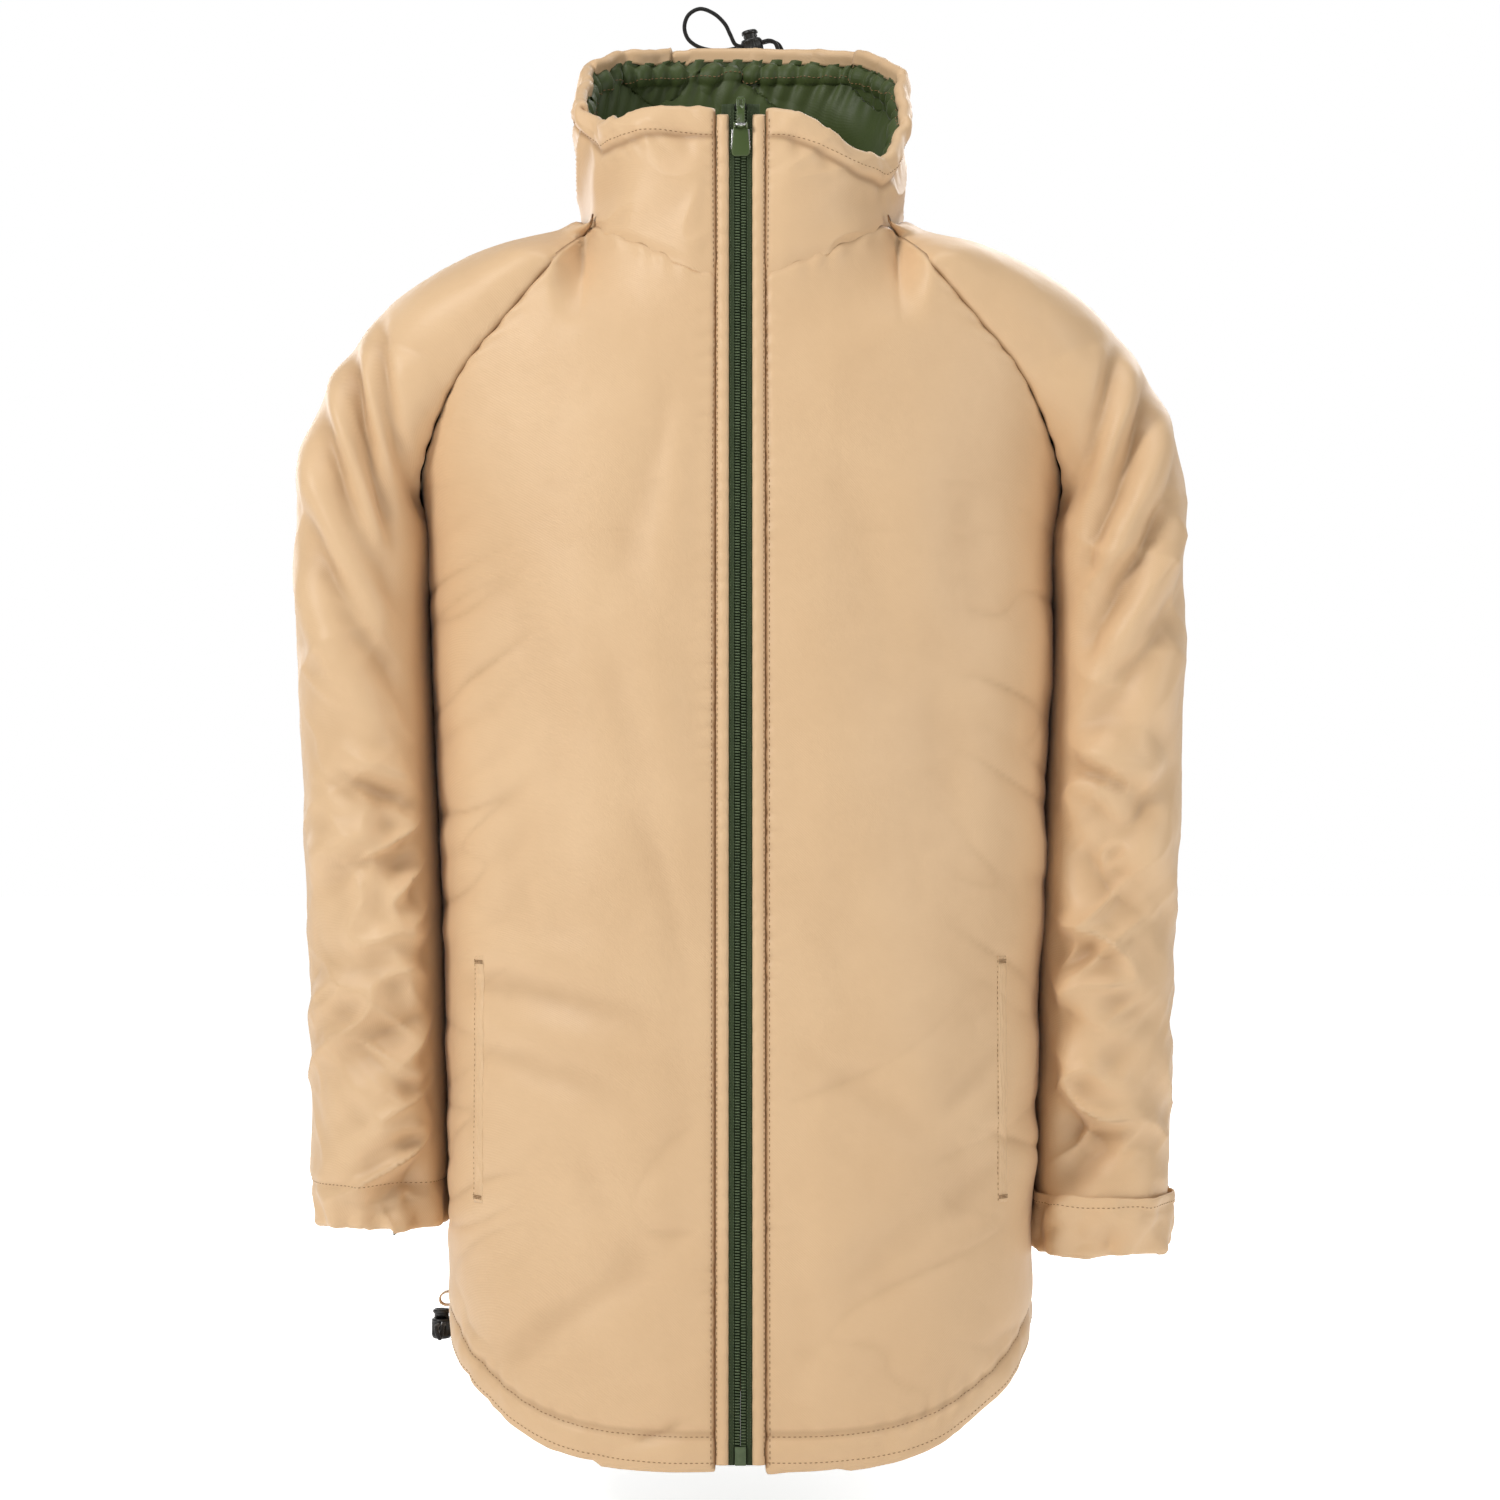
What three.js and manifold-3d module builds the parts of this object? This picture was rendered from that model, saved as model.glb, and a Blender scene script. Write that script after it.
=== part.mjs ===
// An insulated stand-collar jacket with raglan sleeves, closed by a full-length zip.
// Millimetres, +Z up, front towards -Y, the wearer's left towards +X.
// The origin is the middle of the line between the two neck-shoulder points.
import * as THREE from 'three';
import { mergeVertices } from 'three/addons/utils/BufferGeometryUtils.js';
import Module from 'manifold-3d';

const wasm = await Module();
wasm.setup();

// ---- Driving dimensions ----------------------------------------------------------------
const GAP = 0.3; // clearance between pieces that touch
const SHELL = 0.8; // outer satin, with its seam allowance
const WADDING = 5.9; // quilted filling
const LINING = 0.8; // dark inner face
const BODY_BOTTOM = -766; // lowest point of the hem, at the centre front
const LOWEST = BODY_BOTTOM - 134; // cutting solids reach down to here, below every piece
const HEM_RISE = 66; // how much higher the hem is at the sides
const HEM_HALF_WIDTH = 185;
const CUFF_LEFT = -651; // lower end of the wearer's left sleeve
const CUFF_RIGHT = -635;
const CUFF_TURN = 32; // height of the turned-back left cuff
const CUFF_FACING = 30; // height of the facing inside the right cuff
const SLEEVE_CLEAR = 2.6; // a hanging sleeve's distance from the side of the body
const SECTION_POINTS = 16;
const JOINT_SIDES = 24; // facets round a pivot's cut
const SECTION_POWER = 2.4; // 2 is an ellipse, more is squarer

const ZIP_TOP = { y: -95, z: 54 };
const ZIP_BOTTOM = { y: -150, z: BODY_BOTTOM };
const ZIP_OPENING = 7.4; // half of the gap between the two front edges
const CHAIN_HALF = 3.2;
const CHAIN_MIDDLE = 0.9; // half of the slot that the slider's wedge runs in
const CHAIN_THICK = 2.6;
const CHAIN_TEETH = 28;
const TAPE_THICK = 0.8;
const TAPE_HALF = 18;
const SLIDER_LENGTH = 21;
const SLIDER_HALF = 5.7;
const SLIDER_PLATE = 1.5;
const SLIDER_DROP = 12; // from the top of the zip to the top of the slider
const PULL_LENGTH = 17;
const PULL_WIDTH = 5.4;
const PULL_THICK = 1.6;
const PIN_RADIUS = 0.8;
const STOP_LENGTH = 4;
const BOX_LENGTH = 12;
const EDGE_STRIP = 6;
const EDGE_THICK = 1.1;

const SHOULDER = { x: 185, z: -130, r: 100 }; // pivot of a sleeve that is raised sideways
const ELBOW = { z: -385, r: 105 }; // pivot of a bending elbow
const JOINT_GAP = 0.7; // each side of a sleeve's pivot cut

const CORD = 2.7;
const TUNNEL = { drop: 6, height: 6, outer: 2.0, inner: 5.0 }; // a drawcord's channel
const LOCK = { rx: 7, ry: 6.2, height: 13, bore: 4.9, floor: 2.2, hole: 9.5, travel: 3.0 };
const NAPE_LOCK = { x: 9, y: 93.2, z: 117, tilt: -12 };
const EYELET = { x: [9, 16], z: 112, r: 1.8 };
const HEM_LEVEL = BODY_BOTTOM + 62; // height of the hem cord's eyelets
const HEM_LOCK = { x: -190.2, y: 0, z: HEM_LEVEL - 9.5 };
const HEM_EYELET = { y: [12, 20], z: HEM_LEVEL, r: 1.8 };

const POCKET = { x: 156, width: 8, top: -466, length: 150, bag: 95, bagDrop: 30 };
const HANGER = { width: 44, height: 8, thick: 1.2, stand: 9, low: 34, foot: 5 };

// The body's half width and back, from the hem up to the neck: [z, half width, back].
const TORSO = [
  [BODY_BOTTOM - 34, 173, 125], [BODY_BOTTOM + 66, 183, 128], [-467, 188, 130],
  [-308, 196, 130], [-207, 199, 127], [-150, 208, 119], [-92, 218, 110], [-40, 190, 97],
  [-19, 164, 92], [0, 118, 88], [25, 98, 86], [70, 97, 86],
];
// A sleeve above the armpit: [z, inner x, outer x, half depth].
const SLEEVE_TOP = [
  [-207, 201.6, 280, 78], [-165, 192, 278, 80], [-130, 175, 267, 80], [-92, 160, 248, 76],
  [-52, 148, 221, 62], [-28, 140, 185, 42],
];
// A sleeve below the armpit: [z, outer x, half depth]; its inner side follows the body.
const SLEEVE_FALL = [[-680, 268, 53], [-467, 274, 65], [-308, 278, 75]];
// The collar: [z, half width, back].
const COLLAR = [[-90, 97, 84], [0, 101, 86], [60, 105, 87], [150, 106, 86]];
const COLLAR_TOP = [[-110, 53], [-95, 50], [-62, 38], [-20, 58], [20, 84], [60, 108], [100, 126]];
const NECK_SLOPE = 0.4;
const RAGLAN = [[92, 70], [92, -3], [147, -75], [178, -113], [203, -172]];

// ---- Solids ----------------------------------------------------------------------------
const GOLD = 0xdcb98c;
const colours = {
  shell: { color: GOLD, roughness: 0.45, metalness: 0 },
  wadding: { color: 0xe8e6df, roughness: 0.9, metalness: 0 },
  lining: { color: 0x2f3d1c, roughness: 0.5, metalness: 0 },
  zip_tape: { color: 0x3a4a2c, roughness: 0.8, metalness: 0 },
  zip_chain: { color: 0x4e6140, roughness: 0.45, metalness: 0 },
  enamel: { color: 0x55682f, roughness: 0.35, metalness: 0.2 },
  cord: { color: 0x111111, roughness: 0.7, metalness: 0 },
  black_plastic: { color: 0x151515, roughness: 0.4, metalness: 0 },
  steel: { color: 0x9a9a98, roughness: 0.3, metalness: 1 },
};

// A closed three.js geometry as a solid that can be cut and joined.
function solidOf(geometry) {
  const bare = geometry.clone();
  bare.deleteAttribute('normal');
  bare.deleteAttribute('uv');
  const merged = mergeVertices(bare, 1e-4);
  return new wasm.Manifold(new wasm.Mesh({
    numProp: 3,
    vertProperties: new Float32Array(merged.attributes.position.array),
    triVerts: new Uint32Array(merged.index.array),
  }));
}

function meshOf(name, solid, finish) {
  const { vertProperties, triVerts, numProp } = solid.getMesh();
  const geometry = new THREE.BufferGeometry();
  const points = [];
  for (let i = 0; i < vertProperties.length; i += numProp) {
    points.push(vertProperties[i], vertProperties[i + 1], vertProperties[i + 2]);
  }
  geometry.setAttribute('position', new THREE.Float32BufferAttribute(points, 3));
  geometry.setIndex(Array.from(triVerts));
  geometry.computeVertexNormals();
  const mesh = new THREE.Mesh(geometry, new THREE.MeshStandardMaterial(colours[finish]));
  mesh.name = name;
  return mesh;
}

function lerpRow(rows, z) {
  const k = Math.max(1, rows.findIndex((row) => row[0] >= z));
  const [low, high] = [rows[k - 1], rows[k]];
  const t = (z - low[0]) / (high[0] - low[0]);
  return low.map((value, i) => value + (high[i] - value) * t);
}

// The zip runs in one straight line that leans back towards the neck.
function zipFront(z) {
  const t = (z - ZIP_BOTTOM.z) / (ZIP_TOP.z - ZIP_BOTTOM.z);
  return ZIP_BOTTOM.y + (ZIP_TOP.y - ZIP_BOTTOM.y) * t;
}

function roundedRing(cx, cy, a, h, z) {
  const ring = [];
  for (let i = 0; i < SECTION_POINTS; i += 1) {
    const t = ((i + 0.5) / SECTION_POINTS) * 2 * Math.PI;
    const c = Math.cos(t);
    const s = Math.sin(t);
    const x = Math.sign(c) * Math.abs(c) ** (2 / SECTION_POWER);
    const y = Math.sign(s) * Math.abs(s) ** (2 / SECTION_POWER);
    ring.push([cx + a * x, cy + h * y, z]);
  }
  return ring;
}

// A closed solid through rings of equal point counts, listed from the lowest up.
function loft(rings) {
  const n = rings[0].length;
  const points = rings.flat();
  const faces = [];
  for (let r = 0; r + 1 < rings.length; r += 1) {
    for (let i = 0; i < n; i += 1) {
      const a = r * n + i;
      const b = r * n + ((i + 1) % n);
      faces.push(a, b, b + n, a, b + n, a + n);
    }
  }
  const top = (rings.length - 1) * n;
  for (let i = 1; i + 1 < n; i += 1) {
    faces.push(0, i + 1, i);
    faces.push(top, top + i, top + i + 1);
  }
  const geometry = new THREE.BufferGeometry();
  geometry.setAttribute('position', new THREE.Float32BufferAttribute(points.flat(), 3));
  geometry.setIndex(faces);
  return solidOf(geometry);
}

// Unit normals of a profile given as [z, x] rows, as [in z, in x].
function profileNormals(rows) {
  return rows.map((row, i) => {
    const low = rows[Math.max(0, i - 1)];
    const high = rows[Math.min(rows.length - 1, i + 1)];
    const dz = high[0] - low[0];
    const dx = high[1] - low[1];
    const length = Math.hypot(dz, dx);
    return [-dx / length, dz / length];
  });
}

// A tube whose front lies in the plane of the zip; `inset` shrinks it evenly.
function frontedTube(rows, inset) {
  const normals = profileNormals(rows);
  const flat = Math.cos(Math.PI / SECTION_POINTS) ** (2 / SECTION_POWER);
  return loft(rows.map(([z, half, back], i) => {
    const end = i === 0 || i === rows.length - 1;
    const level = end ? z : z - inset * normals[i][0];
    const front = zipFront(level) + inset;
    const h = (back - inset - front) / 2 / flat;
    return roundedRing(0, (back - inset + front) / 2, half - inset * normals[i][1], h, level);
  }));
}

function sleeveRows() {
  const fall = SLEEVE_FALL.map(([z, outer, depth]) => {
    return [z, outer, lerpRow(TORSO, z)[1] + SLEEVE_CLEAR, depth];
  });
  return [...fall, ...SLEEVE_TOP.map(([z, inner, outer, depth]) => [z, outer, inner, depth])];
}

function sleeveTube(side, inset) {
  const rows = sleeveRows();
  const normals = profileNormals(rows);
  return loft(rows.map(([z, outer, inner, depth], i) => {
    const last = i === rows.length - 1;
    const level = last ? z - inset : z - inset * normals[i][0] * (i === 0 ? 0 : 1);
    const out = outer - inset * normals[i][1];
    const half = (out - inner - inset) / 2;
    return roundedRing((side * (out + inner + inset)) / 2, 0, half, depth - inset, level);
  }));
}

const bodies = new Map();
function bodySolid(inset) {
  if (!bodies.has(inset)) {
    const torso = frontedTube(TORSO, inset);
    bodies.set(inset, torso.add(sleeveTube(1, inset)).add(sleeveTube(-1, inset)));
  }
  return bodies.get(inset);
}

const collars = new Map();
function collarSolid(inset) {
  if (!collars.has(inset)) collars.set(inset, frontedTube(COLLAR, inset));
  return collars.get(inset);
}

function layerOf(solidAt, outer, inner) {
  return solidAt(outer).subtract(solidAt(inner));
}

// ---- Regions that cut the layers into panels -------------------------------------------
function box(x0, x1, y0, y1, z0, z1) {
  const geometry = new THREE.BoxGeometry(x1 - x0, y1 - y0, z1 - z0);
  geometry.translate((x0 + x1) / 2, (y0 + y1) / 2, (z0 + z1) / 2);
  return solidOf(geometry);
}

function extruded(points, depth) {
  const shape = new THREE.Shape(points.map(([a, b]) => new THREE.Vector2(a, b)));
  return new THREE.ExtrudeGeometry(shape, { depth, bevelEnabled: false, steps: 1 });
}

// An outline in X and Z, extruded along Y.
function frontPrism(points, y0 = -300, y1 = 300) {
  const geometry = extruded(points, y1 - y0);
  geometry.rotateX(Math.PI / 2);
  geometry.translate(0, y1, 0);
  return solidOf(geometry);
}

// An outline in Y and Z, extruded along X.
function sidePrism(points, x0 = -400, x1 = 400) {
  const geometry = extruded(points, x1 - x0);
  const turn = new THREE.Matrix4().makeBasis(
    new THREE.Vector3(0, 1, 0),
    new THREE.Vector3(0, 0, 1),
    new THREE.Vector3(1, 0, 0),
  );
  geometry.applyMatrix4(turn);
  geometry.translate(x0, 0, 0);
  return solidOf(geometry);
}

function cylinder(radius, length, axis, centre, sides = JOINT_SIDES) {
  const geometry = new THREE.CylinderGeometry(radius, radius, length, sides);
  if (axis === 'x') geometry.rotateZ(Math.PI / 2);
  if (axis === 'z') geometry.rotateX(Math.PI / 2);
  geometry.translate(...centre);
  return solidOf(geometry);
}

function hemAt(x) {
  return BODY_BOTTOM + HEM_RISE * Math.abs(x / HEM_HALF_WIDTH) ** 4;
}

function aboveHem(rise) {
  const edge = [];
  for (let i = -6; i <= 6; i += 1) {
    const x = Math.sign(i) * (Math.abs(i) / 6) ** 0.7 * 240;
    edge.push([x, hemAt(x) + rise]);
  }
  return frontPrism([...edge, [240, 300], [-240, 300]]);
}

// The seam between body and sleeve, and below the armpit the gap between them.
function armLine(shift) {
  const below = TORSO.filter(([z]) => z <= -207).reverse();
  const line = [...RAGLAN, ...below.map(([z, half]) => [half + SLEEVE_CLEAR / 2, z])];
  return line.map(([x, z]) => [x + shift, z]);
}

function mirrored(points, side) {
  return side > 0 ? points : points.map(([x, z]) => [-x, z]).reverse();
}

function sleeveRegion(side) {
  const line = armLine(0);
  const outline = [...line, [400, line[line.length - 1][1]], [400, line[0][1]]];
  return frontPrism(mirrored(outline, side));
}

function bodyRegion() {
  const right = armLine(-GAP);
  return frontPrism([...right, ...right.map(([x, z]) => [-x, z]).reverse()]);
}

function neckAt(y) {
  return -55 + NECK_SLOPE * (y + 102);
}

function belowNeck(shift) {
  const z0 = neckAt(-300) + shift;
  const z1 = neckAt(300) + shift;
  return sidePrism([[-300, LOWEST], [300, LOWEST], [300, z1], [-300, z0]]);
}

function belowCollarTop(drop) {
  const edge = COLLAR_TOP.map(([y, z]) => [y, z - drop]).reverse();
  return sidePrism([[-110, -200], [100, -200], ...edge]);
}

const zipGap = box(-ZIP_OPENING, ZIP_OPENING, -300, 0, LOWEST, 300);
const sideSeam = 6;
const frontHalf = box(-400, 400, -300, sideSeam - GAP / 2, LOWEST, 300);
const backHalf = box(-400, 400, sideSeam + GAP / 2, 300, LOWEST, 300);

const layers = [
  { name: 'shell', finish: 'shell', outer: 0, inner: SHELL },
  { name: 'wadding', finish: 'wadding', outer: SHELL + GAP, inner: SHELL + GAP + WADDING },
];
const liningOuter = SHELL + GAP + WADDING + GAP;
layers.push({ name: 'lining', finish: 'lining', outer: liningOuter, inner: liningOuter + LINING });

// ---- The zip's own frame: z along the zip, y into the jacket, from its top --------------
const zipLength = Math.hypot(ZIP_TOP.y - ZIP_BOTTOM.y, ZIP_TOP.z - ZIP_BOTTOM.z);
const zipLean = -Math.atan2(ZIP_TOP.y - ZIP_BOTTOM.y, ZIP_TOP.z - ZIP_BOTTOM.z);
const zipGroup = new THREE.Group();
zipGroup.position.set(0, ZIP_TOP.y, ZIP_TOP.z);
zipGroup.rotation.x = zipLean;

function inJacket(solid) {
  const matrix = new THREE.Matrix4().makeRotationX(zipLean);
  matrix.setPosition(0, ZIP_TOP.y, ZIP_TOP.z);
  return solid.transform(matrix.elements);
}

const tapeFront = SHELL + GAP;
const chainFront = tapeFront + TAPE_THICK / 2 - CHAIN_THICK / 2;
const chainBack = chainFront + CHAIN_THICK;
const chainTop = -4;
const chainBottom = -zipLength + BOX_LENGTH + 2 * GAP;
const slotDeep = tapeFront + TAPE_THICK + GAP;
const tapeSlot = inJacket(box(
  -TAPE_HALF - GAP, TAPE_HALF + GAP, tapeFront - GAP, slotDeep, -zipLength - 40, 60,
));

// A woven tape with its row of moulded teeth beside it.
function zipHalf(side) {
  const place = (a, b) => (side > 0 ? [a, b] : [-b, -a]);
  const [t0, t1] = place(CHAIN_HALF + GAP, TAPE_HALF);
  const tape = box(t0, t1, tapeFront, tapeFront + TAPE_THICK, -zipLength + 1, chainTop + 4);
  const pitch = (chainTop - chainBottom) / CHAIN_TEETH;
  const root = CHAIN_HALF - 0.8;
  const outline = [[CHAIN_HALF, chainBottom], [CHAIN_HALF, chainTop]];
  for (let i = CHAIN_TEETH - 1; i >= 0; i -= 1) {
    const low = chainBottom + i * pitch;
    outline.push([CHAIN_MIDDLE, low + pitch * 0.95], [CHAIN_MIDDLE, low + pitch * 0.15]);
    outline.push([root, low + pitch * 0.12], [root, low + 0.001]);
  }
  const teeth = frontPrism(mirrored(outline.slice(0, -1), side), chainFront, chainBack);
  return { tape, teeth };
}

function zipSlider() {
  const top = -SLIDER_DROP;
  const bottom = top - SLIDER_LENGTH;
  const front = chainFront - GAP - 0.1;
  const back = chainBack + GAP + 0.1;
  const outline = [[-4.2, top], [-SLIDER_HALF, bottom + 4], [-SLIDER_HALF + 0.6, bottom]];
  outline.push([SLIDER_HALF - 0.6, bottom], [SLIDER_HALF, bottom + 4], [4.2, top]);
  const plate = frontPrism(outline, front - SLIDER_PLATE, front);
  const rear = frontPrism(outline, back, back + SLIDER_PLATE);
  const wedge = box(-0.5, 0.5, front - 0.1, back + 0.1, top - 5, top);
  let slider = plate.add(rear).add(wedge);
  for (const side of [-1, 1]) {
    const x = side * (SLIDER_HALF - 0.7);
    const wall = [x - 0.7, x + 0.7];
    slider = slider.add(box(...wall, front - 0.1, tapeFront - GAP, bottom + 4, bottom + 14));
    slider = slider.add(box(...wall, tapeFront + TAPE_THICK + GAP, back + 0.1, bottom + 4, bottom + 14));
  }
  const pinY = front - SLIDER_PLATE - 2.4;
  for (const side of [-1, 1]) {
    const x = side * 3.7;
    slider = slider.add(box(x - 0.6, x + 0.6, pinY - 1.2, front - 0.5, top - 3.6, top - 0.6));
  }
  slider = slider.add(cylinder(PIN_RADIUS, 7, 'x', [0, pinY, top - 2.1], 16));
  return { slider, pinY, pinZ: top - 2.1 };
}

function zipPull(pinY, pinZ) {
  const plate = box(
    -PULL_WIDTH / 2, PULL_WIDTH / 2, pinY - PULL_THICK / 2, pinY + PULL_THICK / 2, pinZ, pinZ + PULL_LENGTH,
  );
  const eye = cylinder(PIN_RADIUS + 1.2, PULL_WIDTH, 'x', [0, pinY, pinZ], 20);
  const hole = cylinder(PIN_RADIUS + GAP, 20, 'x', [0, pinY, pinZ], 16);
  return plate.add(eye).subtract(hole);
}

// ---- Cord locks and cords ----------------------------------------------------------------
// A spring cord lock: its cord runs along X through a hole in the barrel and the plunger.
function cordLock() {
  const squash = new THREE.Matrix4().makeScale(1, LOCK.ry / LOCK.rx, 1);
  const barrel = cylinder(LOCK.rx, LOCK.height, 'z', [0, 0, LOCK.height / 2], 20);
  const bore = cylinder(LOCK.bore, LOCK.height, 'z', [0, 0, LOCK.height / 2 + LOCK.floor], 16);
  const holeHalf = CORD + 0.5;
  const low = LOCK.hole - CORD / 2 - GAP;
  const high = LOCK.hole + CORD / 2 + GAP;
  const body = barrel.transform(squash.elements).subtract(bore)
    .subtract(box(-20, 20, -holeHalf, holeHalf, low, high));
  const springTop = low - 1.6;
  const radius = LOCK.bore - GAP;
  const stemTop = LOCK.height + LOCK.travel + GAP;
  const stem = cylinder(radius, stemTop - springTop, 'z', [0, 0, (stemTop + springTop) / 2], 16);
  const head = cylinder(radius + 0.9, 2.6, 'z', [0, 0, stemTop + 1.2], 16);
  const plunger = stem.add(head)
    .subtract(box(-20, 20, -holeHalf, holeHalf, low, high + LOCK.travel));
  const spring = coilSpring(radius - 0.9, LOCK.floor + GAP, springTop - GAP);
  return { body, plunger, spring };
}

function coilSpring(radius, low, high) {
  const wire = 0.35;
  const turns = 2;
  class Helix extends THREE.Curve {
    getPoint(t, target = new THREE.Vector3()) {
      const turn = t * turns * 2 * Math.PI;
      const level = low + wire + (high - low - 2 * wire) * t;
      return target.set(radius * Math.cos(turn), radius * Math.sin(turn), level);
    }
  }
  return solidOf(tubeAlong(new Helix(), wire, 20, 5));
}

function tubeAlong(curve, radius, steps, sides) {
  const shape = new THREE.Shape();
  for (let i = 0; i < sides; i += 1) {
    const t = (i / sides) * 2 * Math.PI;
    if (i === 0) shape.moveTo(radius, 0);
    else shape.lineTo(radius * Math.cos(t), radius * Math.sin(t));
  }
  shape.closePath();
  return new THREE.ExtrudeGeometry(shape, { steps, extrudePath: curve });
}

function cordAlong(points, steps) {
  const curve = new THREE.CatmullRomCurve3(points.map((p) => new THREE.Vector3(...p)));
  return solidOf(tubeAlong(curve, CORD / 2, steps, 8));
}

// The collar's elastic cord: out of one eyelet, through the lock, round its loop and back.
const NAPE_ROUTE = [
  [16, 84.4, 112], [16.4, 89.6, 112], [20.5, 91.6, 114.6], [24, 91.8, 120.5], [22.6, 91.7, 126.6],
  [18.5, 91.6, 128.6], [13.8, 91.6, 127.7], [7, 91.6, 126.3], [0.2, 91.6, 124.8],
  [-4.2, 91.2, 126.2], [-7.2, 90.6, 132], [-11, 90.3, 139.4], [-18, 90.2, 146], [-27, 90.4, 149.3],
  [-34.6, 90.8, 145.6], [-37.6, 91.4, 138], [-35.6, 92.4, 130.4], [-29.6, 93.4, 125.4],
  [-21, 94.2, 122.9], [-11, 94.7, 122.8], [-4.6, 94.8, 123.8], [0.2, 94.8, 124.8], [7, 94.8, 126.3],
  [13.8, 94.8, 127.7], [19.5, 95, 128.8], [24.8, 95.4, 126.4], [27.4, 96, 120], [24.6, 96.4, 113],
  [17.6, 95.6, 109.4], [10.6, 92.8, 110.6], [9, 89, 112], [9, 84.4, 112],
];
// The hem's elastic cord at the right side: out of one eyelet, through the lock and back.
const HEM_ROUTE = [ // heights are from the eyelets' level
  [-180.6, 12, 0], [-186.4, 11.8, 0], [-188.6, 8.6, 0], [-188.6, 0, 0], [-188.6, -8, 0],
  [-188.8, -13, -2], [-189.8, -16.6, -7], [-191.2, -18.6, -4], [-192.2, -16, -0.6],
  [-192, -12, 0], [-191.8, -8, 0], [-191.8, 0, 0], [-191.8, 10, 0], [-191.2, 16, 0],
  [-188.4, 19.6, 0], [-184.6, 20, 0], [-180.6, 20, 0],
];

// ---- Assembly ----------------------------------------------------------------------------
const jacket = new THREE.Group();
const add = (name, solid, finish, parent = jacket) => parent.add(meshOf(name, solid, finish));
const sides = [{ name: 'left', s: 1, cuff: CUFF_LEFT }, { name: 'right', s: -1, cuff: CUFF_RIGHT }];

const hemTunnel = layerOf(bodySolid, TUNNEL.outer, TUNNEL.inner)
  .intersect(aboveHem(TUNNEL.drop)).subtract(aboveHem(TUNNEL.drop + TUNNEL.height));
const collarTunnel = layerOf(collarSolid, TUNNEL.outer, TUNNEL.inner)
  .intersect(belowCollarTop(TUNNEL.drop)).subtract(belowCollarTop(TUNNEL.drop + TUNNEL.height));

function pocketPrism(side, grow, inward) {
  const x0 = POCKET.x - inward - grow;
  const x1 = POCKET.x + POCKET.width + grow;
  const low = POCKET.top - POCKET.length - (inward ? POCKET.bagDrop : 0) - grow;
  const outline = [[x0, low], [x1, low], [x1, POCKET.top + grow], [x0, POCKET.top + grow]];
  return frontPrism(mirrored(outline, side), -300, 0);
}

const bagOuter = SHELL + GAP;
const bagInner = bagOuter + 1.0;
let waddingCut = hemTunnel.add(tapeSlot);
for (const { s } of sides) {
  const recess = layerOf(bodySolid, 0, bagInner + GAP).intersect(pocketPrism(s, GAP, POCKET.bag));
  waddingCut = waddingCut.add(recess);
}
const napeHoles = EYELET.x.map((x) => cylinder(EYELET.r, 8, 'y', [x, 84.5, EYELET.z], 16));
const hemHoles = HEM_EYELET.y.map((y) => cylinder(HEM_EYELET.r, 14, 'x', [-182, y, HEM_EYELET.z], 16));

const neckHole = collarSolid(-GAP).subtract(belowNeck(-GAP));
const bodyOpen = bodyRegion().intersect(aboveHem(0));
for (const layer of layers) {
  let skin = layerOf(bodySolid, layer.outer, layer.inner).subtract(neckHole);
  let stand = layerOf(collarSolid, layer.outer, layer.inner)
    .subtract(belowNeck(0)).intersect(belowCollarTop(0)).subtract(zipGap);
  if (layer.name === 'wadding') {
    skin = skin.subtract(waddingCut);
    stand = stand.subtract(collarTunnel).subtract(tapeSlot);
  }
  if (layer.name !== 'lining') {
    for (const hole of napeHoles) stand = stand.subtract(hole);
    for (const hole of hemHoles) skin = skin.subtract(hole);
  }
  const trunk = skin.intersect(bodyOpen);
  const front = trunk.intersect(frontHalf).subtract(zipGap);
  for (const { name, s } of sides) {
    const half = s > 0 ? box(0, 400, -300, 300, LOWEST, 300) : box(-400, 0, -300, 300, LOWEST, 300);
    add(`front_${name}_${layer.name}`, front.intersect(half), layer.finish);
  }
  add(`back_${layer.name}`, trunk.intersect(backHalf), layer.finish);
  add(`collar_${layer.name}`, stand, layer.finish);
  for (const { name, s, cuff } of sides) {
    const sleeve = skin.intersect(sleeveRegion(s)).subtract(box(-400, 400, -300, 300, LOWEST, cuff));
    const shoulder = (r) => cylinder(r, 600, 'y', [s * SHOULDER.x, 0, SHOULDER.z]);
    const elbow = (r) => cylinder(r, 900, 'x', [0, 0, ELBOW.z]);
    const aboveShoulder = box(-400, 400, -300, 300, SHOULDER.z, 300);
    const belowElbow = box(-400, 400, -300, 300, LOWEST, ELBOW.z);
    const cap = sleeve.intersect(aboveShoulder.add(shoulder(SHOULDER.r - JOINT_GAP)));
    const arm = sleeve.subtract(aboveShoulder).subtract(shoulder(SHOULDER.r + JOINT_GAP));
    const upper = arm.subtract(belowElbow).subtract(elbow(ELBOW.r + JOINT_GAP));
    const fore = arm.intersect(belowElbow.add(elbow(ELBOW.r - JOINT_GAP)));
    add(`sleeve_cap_${name}_${layer.name}`, cap, layer.finish);
    add(`upper_sleeve_${name}_${layer.name}`, upper, layer.finish);
    add(`forearm_sleeve_${name}_${layer.name}`, fore, layer.finish);
  }
}

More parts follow.
